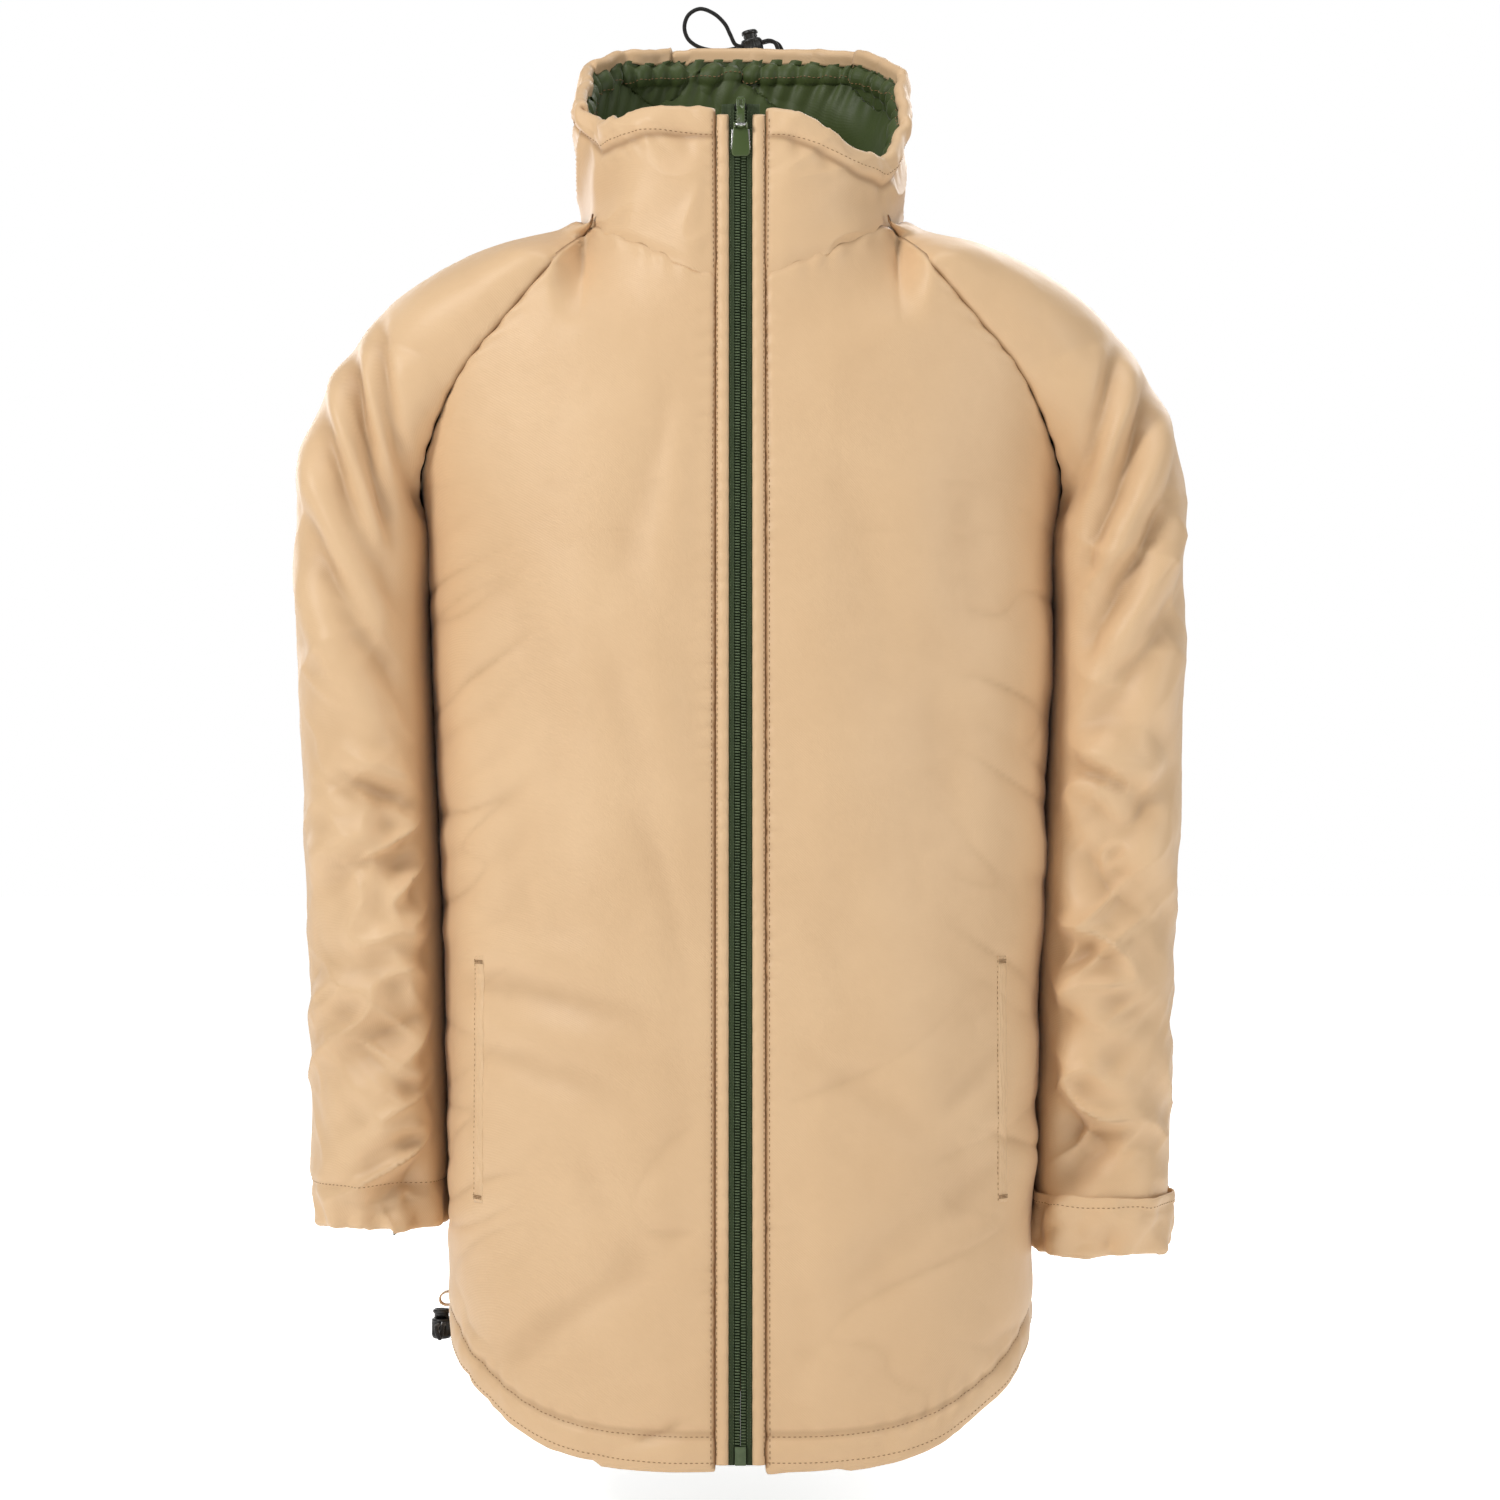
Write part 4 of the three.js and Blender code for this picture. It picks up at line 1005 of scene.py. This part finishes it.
# ---- Sleeves --------------------------------------------------------------------------------
def sleeve(side):
    """A raglan sleeve in two drawn pieces, upper and lower, each with its lining."""
    rows_fall, rows_cap, columns = 190, 96, 170
    name = NAMES[side]
    grid = sleeve_grid(side, rows_fall, rows_cap, columns)
    centre = grid.mean(axis=1, keepdims=True)
    outward = grid - centre
    normals = normals_of(grid, outward)
    run_up = lengths(grid, 0)
    run_round = lengths(grid, 1)
    total = run_round[:, -1:]
    rise = sleeve_folds(grid, side, run_round - total / 2)
    top = run_up[-1:, :] - run_up
    from_seam = np.minimum(run_round, total - run_round)
    on_cap = ease(ARMPIT - 0.01, ARMPIT + 0.025, grid[..., 2])
    fade = 1 - on_cap * (1 - ease(0.0, 0.022, from_seam))
    closed = 1 - (1 - on_cap) * (1 - ease(0.0, 0.012, from_seam))
    rise = rise * fade * closed * ease(0.0, 0.03, top)
    beside = np.abs(grid[..., 0]) - torso_half(grid[..., 2])
    rise = rise * (1 - ease(0.020, 0.003, beside) * (1 - on_cap))
    rise = rise + seam_dip(from_seam, run_up, 0.0018) * on_cap
    rise = rise + seam_dip(top, run_round, 0.0026, 8.0)
    cuff = 0.0018 * np.cos(2 * math.pi * run_round / 0.026 + 3 * noise(grid, 0.06, 1))
    rise = rise + cuff * ease(0.030, 0.004, run_up) * closed
    if side == -1:
        rise = rise + pucker(run_up - 0.024, run_round, 0.0013, 0.017, 0.010, 4.0) * closed
    grid = moved(grid, normals, rise)
    # painted shade in the fold valleys and along the raglan seam and the neck seam
    painted_shade = np.maximum(fold_shade(rise, 0.0036), line_at(from_seam) * on_cap)
    painted_shade = np.maximum(painted_shade, line_at(top))
    normals = normals_of(grid, outward)
    seam_normal = normals[:, 0] + normals[:, -1]
    seam_normal /= np.linalg.norm(seam_normal, axis=1, keepdims=True)
    below = grid[:, 0, 2] < ARMPIT - 0.004
    normals[below, 0] = seam_normal[below]
    normals[below, -1] = seam_normal[below]

    split = int(np.argmin(np.abs(grid[:, columns // 2, 2] - SPLIT)))
    upper = sheet_object(f"sleeve_{name}_upper", grid[split:], normals[split:], SKIN, True)
    paint_shade(upper, painted_shade[split:])
    layers = [f"_{name}_{layer}" for layer in ("shell", "wadding")]
    upper_parts = [part + layer for part in ("sleeve_cap", "upper_sleeve") for layer in layers]
    finish_piece(upper, TAN, None, upper_parts)
    whole, whole_normals = with_roll(grid[: split + 1], normals[: split + 1])
    whole_normals[-1] = normals[split]
    lower = sheet_object(f"sleeve_{name}_lower", whole, whole_normals, SKIN, True)
    paint_shade(lower, painted_shade[: split + 1], ROLL_ROWS)
    finish_piece(lower, TAN, None, ["forearm_sleeve" + layer for layer in layers])

    linings = []
    pieces = [("upper", slice(split, -8), ["sleeve_cap", "upper_sleeve"]),
              ("lower", slice(6, split + 2), ["forearm_sleeve"])]
    for part, rows, nodes in pieces:
        g, n = grid[rows][::2, ::2], normals[rows][::2, ::2]
        face = sheet_object(f"sleeve_{name}_{part}_lining", g - n * LOFT, n, LINING_SKIN)
        finish_piece(face, LINING, None, [f"{node}_{name}_lining" for node in nodes])
        linings.append(face)
    for piece in (upper, linings[0]):
        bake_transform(piece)
    for piece in (lower, linings[1]):
        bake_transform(piece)
    return grid, normals


def cuff_turnback(grid, normals):
    """The left cuff, folded up over the end of its sleeve."""
    run = lengths(grid, 0)[:, grid.shape[1] // 2]
    rows = int(np.searchsorted(run, CUFF_TURN))
    g, n = grid[:rows], normals[:rows]
    around = lengths(g, 1)
    up = run[:rows, None]
    rise = 0.0022 + 0.0012 * np.sin(math.pi * up / CUFF_TURN)
    rise = rise + 0.0026 * (rumple(around, g[..., 2] * 2.2, 0.034, 1.25, 12.0) - 0.4)
    waves = np.cos(2 * math.pi * around / 0.031 + 2 * noise(g, 0.05, 1))
    rise = rise + 0.0010 * waves * ease(0.4, 1, up / CUFF_TURN)
    rise = rise + pucker(up - 0.026, around, 0.0008, 0.015, 0.008, 6.0)
    g = moved(g, n, np.maximum(rise, 0.0012))
    n = normals_of(g, n)
    whole, whole_normals = with_roll(g, n, 0, 0.010)
    low = len(whole) - len(g)
    whole = rolled(whole, whole_normals, -1, 0.0009, 0.006, 6)
    outward = np.zeros_like(whole)
    outward[low : low + len(n)] = n
    band = sheet_object("cuff_left_band", whole, normals_of(whole, outward), 0.0008)
    finish_piece(band, TAN, "left_forearm", ["cuff_left_turnback"])
    row = int(np.searchsorted(run, 0.026))
    stitches("cuff_left_stitches", g[row], n[row], "left_forearm")


def cuff_facing(grid, normals):
    """The green facing just inside the right cuff; it peeps out at the edge in places."""
    run = lengths(grid, 0)[:, grid.shape[1] // 2]
    rows = int(np.searchsorted(run, 0.030))
    g, n = grid[:rows], normals[:rows]
    around = lengths(g, 1)
    drop = 0.0015 + 0.0022 * np.maximum(noise(g, 0.020, 1), -0.2)
    place = g - n * (LOFT + 0.0010)
    place[:, :, 2] -= drop * ease(0.010, 0.0, run[:rows, None])
    place = place + n * 0.0006 * np.cos(2 * math.pi * around / 0.012)[..., None]
    facing = sheet_object("cuff_right_facing_band", place[:, ::2], n[:, ::2], 0.0008)
    finish_piece(facing, LINING, "right_forearm", ["cuff_right_facing"])
    row = int(np.searchsorted(run, 0.024))
    stitches("cuff_right_stitches", grid[row], normals[row], "right_forearm")


sleeves = {side: sleeve(side) for side in (1, -1)}
cuff_turnback(*sleeves[1])
cuff_facing(*sleeves[-1])


# ---- Collar ---------------------------------------------------------------------------------
TUNNEL_STITCH = 0.015


def collar():
    """The standing collar, its tunnel and stitches, its lining and the cord inside it."""
    rows, columns = 80, 300
    grid = collar_grid(rows, columns)
    outward = grid - grid.mean(axis=(0, 1), keepdims=True)
    outward[..., 2] = 0
    normals = normals_of(grid, outward)
    run_up, run_round = lengths(grid, 0), lengths(grid, 1)
    below = run_up[-1:, :] - run_up
    ends = np.minimum(run_round, run_round[:, -1:] - run_round)
    rise = pucker(below - TUNNEL_STITCH, run_round, 0.0016, 0.0145, 0.011, 3.0)
    rise = rise + 0.0016 * np.exp(-(((below - 0.007) / 0.006) ** 2))
    gathers = noise(np.stack([run_round, below * 0.3, below * 0 + 9], axis=-1), 0.010, 2)
    rise = rise + 0.0022 * gathers * ease(0.034, 0.004, below)
    rise = rise + 0.0056 * (0.45 - rumple(run_round, grid[..., 2], 0.036, 0.6, 2.0, 2.2))
    rise = rise * ease(0.0, 0.018, ends)
    rise = rise + pucker(ends, run_up, 0.0014, 0.0125, 0.007, 1.0)
    rise = rise - 0.0016 * ease(0.010, 0.0, run_up)
    under_lock = ease(0.050, 0.032, np.abs(grid[..., 0])) * (grid[..., 1] > 0.05)
    rise = rise - under_lock * np.maximum(rise - 0.0002, 0)
    grid = moved(grid, normals, rise)
    normals = normals_of(grid, outward)
    whole, whole_normals = with_roll(grid, normals, -1, 0.006)
    outer = sheet_object("collar_outer", whole, whole_normals)
    # painted shade along the collar's zip ends and its tunnel stitch line
    seam_shade = np.maximum(line_at(ends), 0.55 * line_at(below - TUNNEL_STITCH, 0.0020))
    paint_shade(outer, np.maximum(fold_shade(rise), seam_shade), 0, ROLL_ROWS)
    finish_piece(outer, TAN, "root", ["collar_shell", "collar_wadding"])
    row = int(np.searchsorted(run_up[-1, columns // 2] - run_up[::-1, columns // 2], TUNNEL_STITCH))
    row = rows - 1 - row
    stitches("collar_tunnel_stitches", grid[row], normals[row], "root")
    for end, label in [(1, "left"), (-2, "right")]:
        line, line_normals = grid[4:-2, end], normals[4:-2, end]
        stitches(f"collar_{label}_zip_stitches", line, line_normals, "root", 0.0036, 0.0024)

    face, n = grid[:-3], normals[:-3]
    gather = np.cos(2 * math.pi * run_round[:-3] / 0.013 + 2.0 * noise(face, 0.03, 1))
    under_top = below[:-3]
    depth = LOFT - 0.0006 + 0.0014 * gather * ease(0.05, 0.008, under_top)
    depth = depth + 0.0016 * np.exp(-(((under_top - TUNNEL_STITCH) / 0.003) ** 2))
    inner = face - n * depth[..., None]
    lining = sheet_object("collar_lining_face", inner, n, LINING_SKIN)
    finish_piece(lining, LINING, "root", ["collar_lining"])
    stitches("collar_lining_stitches", inner[row] - n[row] * 0.0008, -n[row], "root")

    line = grid[rows - 8, 6:-6:6] - normals[rows - 8, 6:-6:6] * CORD_DEPTH
    elastic = round_cord("collar_elastic", along(line, 300), DRAWCORD_RADIUS)
    finish_piece(elastic, CORD, "root", ["collar_drawcord"])


collar()


def hem_elastic():
    """The cord inside the hem, from one front edge round the back to the other."""
    row = 4
    left = front_left[row, 8:] - front_left_normals[row, 8:] * CORD_DEPTH
    behind = (back[row] - back_normals[row] * CORD_DEPTH)[::-1]
    right = (front_right[row, 8:] - front_right_normals[row, 8:] * CORD_DEPTH)[::-1]
    line = np.vstack([left[:-2:4], behind[3:-3:4], right[2::4]])
    elastic = round_cord("hem_elastic", along(line, 500), DRAWCORD_RADIUS)
    finish_piece(elastic, CORD, "root", ["hem_drawcord"])


hem_elastic()


# ---- Pockets --------------------------------------------------------------------------------
POCKET = {"x": 0.160, "half": 0.0030, "top": -0.466, "low": -0.616}
BAG_DEPTH = 0.0040


def pocket(side, grid, normals):
    """A narrow welt in the side of the front, its bar tacks, and the bag behind it."""
    name = NAMES[side]
    count, across = 90, 13
    rows = []
    row_normals = []
    for z in np.linspace(POCKET["low"], POCKET["top"], count):
        row, row_normal = [], []
        for t in np.linspace(-1, 1, across):
            place, normal = nearest(grid, normals, side * POCKET["x"] + t * POCKET["half"], z)
            end = min(1.0, (count - 1) * min(z - POCKET["low"], POCKET["top"] - z) / 0.15 / 3)
            crown = 0.0008 * (1 - t * t) ** 0.5 * (0.35 + 0.65 * end)
            ripple = 0.0003 * math.cos(2 * math.pi * z / 0.011 + 2 * t)
            row.append(place + normal * (crown + ripple * (1 - t * t)))
            row_normal.append(normal)
        rows.append(row)
        row_normals.append(row_normal)
    rows, row_normals = np.array(rows), np.array(row_normals)
    welt = sheet_object(f"pocket_welt_{name}_strip", rows, row_normals, 0.0010)
    finish_piece(welt, TAN, "root", [f"pocket_welt_{name}"])
    stitches(f"pocket_{name}_stitches", rows[:, 0], row_normals[:, 0], "root")
    for end, label in [(2, "low"), (-3, "top")]:
        tack = rows[end] + row_normals[end] * 0.0005
        for k in range(3):
            lift = np.array([0, 0, 0.0009 * (k - 1)])
            label_k = f"pocket_{name}_{label}_tack_{k}"
            stitches(label_k, tack + lift, row_normals[end], "root", 0.0014, 0.0013)
    x, z = np.abs(grid[:, :, 0]), grid[:, :, 2]
    r = np.where((z[:, 40] > -0.646) & (z[:, 40] < POCKET["top"]))[0]
    c = np.where((x[r[0]] > 0.061) & (x[r[0]] < 0.164))[0]
    g, n = (a[r[0] : r[-1] : 2, c[0] : c[-1] : 2] for a in (grid, normals))
    bag = sheet_object(f"pocket_{name}_bag", g - n * BAG_DEPTH, n, 0.0008)
    finish_piece(bag, LINING, "root", [f"pocket_bag_{name}"])


pocket(1, front_left, front_left_normals)
pocket(-1, front_right, front_right_normals)


# ---- Zip ------------------------------------------------------------------------------------
LEAN = -math.atan2(ZIP_TOP[0] - ZIP_BOTTOM[0], ZIP_TOP[1] - ZIP_BOTTOM[1])
ZIP = moved_to((0, *ZIP_TOP), LEAN, "X")
ZIP_LENGTH = math.hypot(ZIP_TOP[0] - ZIP_BOTTOM[0], ZIP_TOP[1] - ZIP_BOTTOM[1])


def from_zip(points):
    """Places given in the zip's own frame, moved to the jacket's."""
    return np.array([ZIP @ Vector(p) for p in points.reshape(-1, 3)]).reshape(points.shape)


def repeated(name, ring, stations, places, mirror):
    """Copies of one small lofted solid: `ring` is its section, `stations` its offsets and scales."""
    points, faces = [], []
    sides = len(ring)
    for z in places:
        base = len(points)
        for x, scale in stations:
            points += [(mirror * x, 0.0015 + y * scale, z + w * scale) for w, y in ring]
        for j in range(len(stations) - 1):
            for i in range(sides):
                a, b = base + j * sides + i, base + j * sides + (i + 1) % sides
                quad = (a, b, b + sides, a + sides)
                faces.append(quad if mirror > 0 else quad[::-1])
        first = tuple(base + i for i in range(sides))
        last = tuple(base + (len(stations) - 1) * sides + i for i in range(sides))
        faces += [first[::-1], last] if mirror > 0 else [first, last[::-1]]
    return mesh_object(name, points, faces)


def zip_chain():
    """The two rows of teeth and the rows of thread that hold them to the tapes."""
    pitch = 0.0018
    wide, tall = 0.00058, 0.00125
    ring = [(wide * math.cos(t), tall * math.sin(t)) for t in np.arange(8) * math.pi / 4 + math.pi / 8]
    stations = [(0.0033, 0.7), (0.0031, 0.95), (0.0022, 1.0), (0.0011, 1.0), (0.0006, 0.9), (0.0003, 0.55)]
    low, high = -ZIP_LENGTH + 0.0127, -0.0045
    for side in (1, -1):
        offset = 0 if side > 0 else pitch / 2
        teeth = repeated(
            f"zip_chain_{NAMES[side]}", ring, stations, np.arange(low + offset, high, pitch), side,
        )
        placed(teeth, ZIP)
        finish_piece(teeth, CHAIN, "root", [f"zip_teeth_{NAMES[side]}"])
        z = np.linspace(low, high, 400)
        for k, x in enumerate((0.0040, 0.0062)):
            line = from_zip(np.array([(side * x, 0.00105, v) for v in z]))
            normal = np.tile(np.array(ZIP.to_3x3() @ Vector((0, -1, 0))), (len(line), 1))
            name = f"zip_tape_{NAMES[side]}_thread_{k}"
            stitches(name, line, normal, "root", 0.0018, 0.0013, 0.00026, CHAIN)


def zip_tape(side):
    """The woven tape that carries the chain, sewn in behind the padded strip."""
    z = np.linspace(-ZIP_LENGTH + 0.001, -0.0002, 420)[:, None]
    x = np.linspace(0.00002, 0.0115, 24)[None, :]
    rib = 0.00012 * np.cos(2 * math.pi * x / 0.0016)
    under_chain = 0.0017 * ease(0.0040, 0.0034, x)
    y = 0.0013 + rib + 0.0009 * ease(0.0062, 0.0085, x) + under_chain + z * 0
    grid = np.stack([side * x + z * 0, y, z + x * 0], axis=-1)
    flat = from_zip(grid)
    n = normals_of(flat, [0, -1, 0])
    tape = sheet_object(f"zip_tape_{NAMES[side]}_weave", flat, n, 0.0008)
    finish_piece(tape, TAPE, "root", [f"zip_tape_{NAMES[side]}"])


def edge_strip(side):
    """The padded strip between the zip and the line of stitches beside it."""
    profile = along([
        (0.0120, 0.0060), (0.0086, 0.0058), (0.0071, 0.0040), (0.0071, 0.0014), (0.0080, -0.0004),
        (0.0098, -0.0012), (0.0120, -0.0010), (0.0138, 0.0002), (0.0147, 0.0018), (0.0150, 0.0036),
    ], 26)
    z = np.linspace(-ZIP_LENGTH + 0.0012, -0.0065, 760)[:, None]
    t = np.linspace(0, 1, 26)[None, :]
    place = np.stack([z * 0 + 3.0 * side, z, z * 0], axis=-1)
    wobble = noise(place, 0.030, 2)
    fold = np.cos(2 * math.pi * (z / 0.0125 + 0.5 * wobble) + 2.2 * t)
    strength = 0.00055 * (0.5 + 0.8 * np.abs(wobble)) * np.sin(math.pi * t)
    end = np.sqrt(np.clip(1 - (1 - np.minimum(1, (-0.0065 - z) / 0.004 + 0.02)) ** 2, 0, 1))
    x = profile[:, 0][None, :] + 0 * z
    y = profile[:, 1][None, :] - strength * fold * ease(0.25, 0.5, t)
    y = 0.0045 + (y - 0.0045) * (0.45 + 0.55 * end)
    grid = np.stack([side * x, y, z + 0 * x], axis=-1)
    flat = from_zip(grid)
    outward = np.zeros_like(flat)
    outward[:, 10:, 1] = -1
    n = normals_of(flat, outward)
    strip = sheet_object(f"edge_strip_{NAMES[side]}_fold", flat, n, 0.0008)
    finish_piece(strip, TAN, "root", [f"edge_strip_{NAMES[side]}"])
    line, line_normals = flat[4:-8, 21], n[4:-8, 21]
    stitches(f"edge_strip_{NAMES[side]}_stitches", line, line_normals, "root", 0.0034, 0.0023)


zip_chain()
for zip_side in (1, -1):
    zip_tape(zip_side)
    edge_strip(zip_side)


def extruded(name, outline, y0, y1, bevel):
    """A flat outline in X and Z given thickness along Y, with rounded edges."""
    count = len(outline)
    points = [(x, y0, z) for x, z in outline] + [(x, y1, z) for x, z in outline]
    faces = [tuple(range(count)), tuple(range(2 * count - 1, count - 1, -1))]
    for i in range(count):
        j = (i + 1) % count
        faces.append((i, i + count, j + count, j))
    obj = mesh_object(name, points, faces, smooth=False)
    bpy.context.view_layer.objects.active = obj
    round_edges(obj, bevel)
    return obj


def mirrored(half):
    """An outline from its right half."""
    return half + [(-x, z) for x, z in reversed(half)]


def slider():
    """The slider's two plates, its bright flanges, the bridge over its pin, and the pull."""
    half = [(-0.0042, 0), (-0.0047, -0.006), (-0.0057, -0.0165), (-0.0054, -0.0195), (-0.0040, -0.0210)]
    outline = [(x, z - 0.012) for x, z in mirrored(half)]
    pieces = []
    for y0, y1, label in [(-0.0017, -0.0002, "front"), (0.0032, 0.0047, "back")]:
        pieces.append((extruded("zip_slider_" + label, outline, y0, y1, 0.0005), ENAMEL))
    hole = lathe("slider_hole", [(0.0015, -0.0021), (0.0015, 0.0)], 24)
    placed(hole, moved_to((0, 0, -0.0282), math.pi / 2, "X"))
    cut(pieces[0][0], hole)
    wedge = soft_box("zip_slider_wedge", (-0.0005, -0.0003, -0.017), (0.0005, 0.0033, -0.0122), 0.0002)
    pieces.append((wedge, ENAMEL))
    for side in (1, -1):
        foot, top, eye = side * 0.0052, side * 0.0048, side * 0.0037
        rail = [(foot - 0.0007, -0.0285), (foot + 0.0007, -0.0290)]
        rail += [(top + 0.0006, -0.0165), (top - 0.0006, -0.0165)]
        flange = extruded("zip_slider_flange_" + NAMES[side], rail, -0.0014, 0.0005, 0.0003)
        ear = [(eye - 0.0006, -0.0160), (eye + 0.0006, -0.0160)]
        ear += [(eye + 0.0006, -0.0128), (eye - 0.0006, -0.0128)]
        lug = extruded("zip_slider_lug_" + NAMES[side], ear, -0.0053, -0.0012, 0.0005)
        pieces += [(flange, STEEL), (lug, ENAMEL)]
    for obj, material in pieces:
        placed(obj, ZIP)
        finish_piece(obj, material, "zip_slider")
    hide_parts("zip_slider")
    profile = [(0.0005, -0.0036), (0.0008, -0.0034), (0.0008, 0.0034), (0.0005, 0.0036)]
    pin = lathe("zip_slider_pin", profile, 24)
    bridge = moved_to((0, -0.0041, -0.0141), math.pi / 2, "Y")
    placed(pin, ZIP @ bridge)
    finish_piece(pin, STEEL, "zip_slider")

    side_line = [(0.0014, -0.0019), (0.0022, -0.0008), (0.0025, 0.0020), (0.0024, 0.0080), (0.0027, 0.0130),
                 (0.0026, 0.0155), (0.0017, 0.0168)]
    outline = [(x, z - 0.0141) for x, z in mirrored(side_line)]
    pull = extruded("zip_pull_plate", outline, -0.0049, -0.0033, 0.0004)
    eye = lathe("pull_eye", [(0.0011, -0.01), (0.0011, 0.01)], 24)
    placed(eye, bridge)
    cut(pull, eye)
    slot_low, slot_high = -0.0141 + 0.0115, -0.0141 + 0.0150
    window = soft_box("pull_window", (-0.0011, -0.01, slot_low), (0.0011, 0.0, slot_high), 0.0004)
    cut(pull, window)
    placed(pull, ZIP)
    finish_piece(pull, ENAMEL, "zip_pull", ["zip_pull"])


slider()


# ---- Hanger loop and eyelet patch -----------------------------------------------------------
def hanger_loop():
    """A strap sewn at both ends inside the back of the neck."""
    line = along([(-0.0220, 0.0777), (-0.0195, 0.0765), (-0.0170, 0.0715), (-0.0120, 0.0700), (0, 0.0698),
                  (0.0120, 0.0700), (0.0170, 0.0715), (0.0195, 0.0765), (0.0220, 0.0777)], 70)
    z = np.linspace(0.0342, 0.0418, 9)
    grid = np.array([[(x, y, v) for x, y in line] for v in z])
    n = normals_of(grid, [0, -1, 0])
    strap = sheet_object("hanger_loop_strap", grid, n, 0.0011)
    finish_piece(strap, LINING, "root", ["hanger_loop"])
    for row in (1, -2):
        stitches(f"hanger_stitches_{row % 9}", grid[row], n[row], "root", 0.0026, 0.0018, 0.00022)


def eyelet_patch():
    """The sewn patch that both ends of the nape cord come out of."""
    patch = soft_box("eyelet_patch", (0.0042, 0.0864, 0.1080), (0.0205, 0.0876, 0.1160), 0.0005)
    for x in (0.009, 0.016):
        hole = lathe("hole", [(0.0018, -0.01), (0.0018, 0.01)], 24)
        placed(hole, moved_to((x, 0.087, 0.112), math.pi / 2, "X"))
        cut(patch, hole)
    finish_piece(patch, TAN, "root", ["nape_eyelet_patch"])
    corners = [(0.0051, 0.1088), (0.0196, 0.1088), (0.0196, 0.1152), (0.0051, 0.1152), (0.0051, 0.1088)]
    line = resample(np.array([(x, 0.0877, z) for x, z in corners]), 60)
    outward = np.tile([0.0, 1.0, 0.0], (60, 1))
    stitches("eyelet_patch_stitches", line, outward, "root", 0.0020, 0.0014, 0.0002)


def hem_tab():
    """The small folded tab of cloth just above the hem's cord lock."""
    line = along([(-0.1815, -0.6842), (-0.1870, -0.6836), (-0.1908, -0.6862), (-0.1912, -0.6904),
                  (-0.1878, -0.6926), (-0.1815, -0.6922)], 40)
    width = np.linspace(-0.0034, 0.0034, 9)
    grid = np.array([[(x - 0.0004 * math.cos(500 * y), y, z) for x, z in line] for y in width])
    n = normals_of(grid, [-1, 0, 0])
    tab = sheet_object("hem_lock_tab", grid, n, 0.0008)
    finish_piece(tab, TAN, "root")
    for row in (1, -2):
        stitches(f"hem_tab_stitches_{row % 9}", grid[row], n[row], "root", 0.0018, 0.0012, 0.0002)


hanger_loop()
eyelet_patch()
hem_tab()


# ---- Finishes of the CAD pieces that stay ---------------------------------------------------
KEPT = {
    CHAIN: ["zip_insertion_pin", "zip_box"],
    PLASTIC: ["zip_top_stop_left", "zip_top_stop_right"],
    STEEL: ["nape_lock_spring", "hem_lock_spring"],
}
for material, names in KEPT.items():
    for name in names:
        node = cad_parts[name]
        for entry in node.material_slots:
            entry.material = material
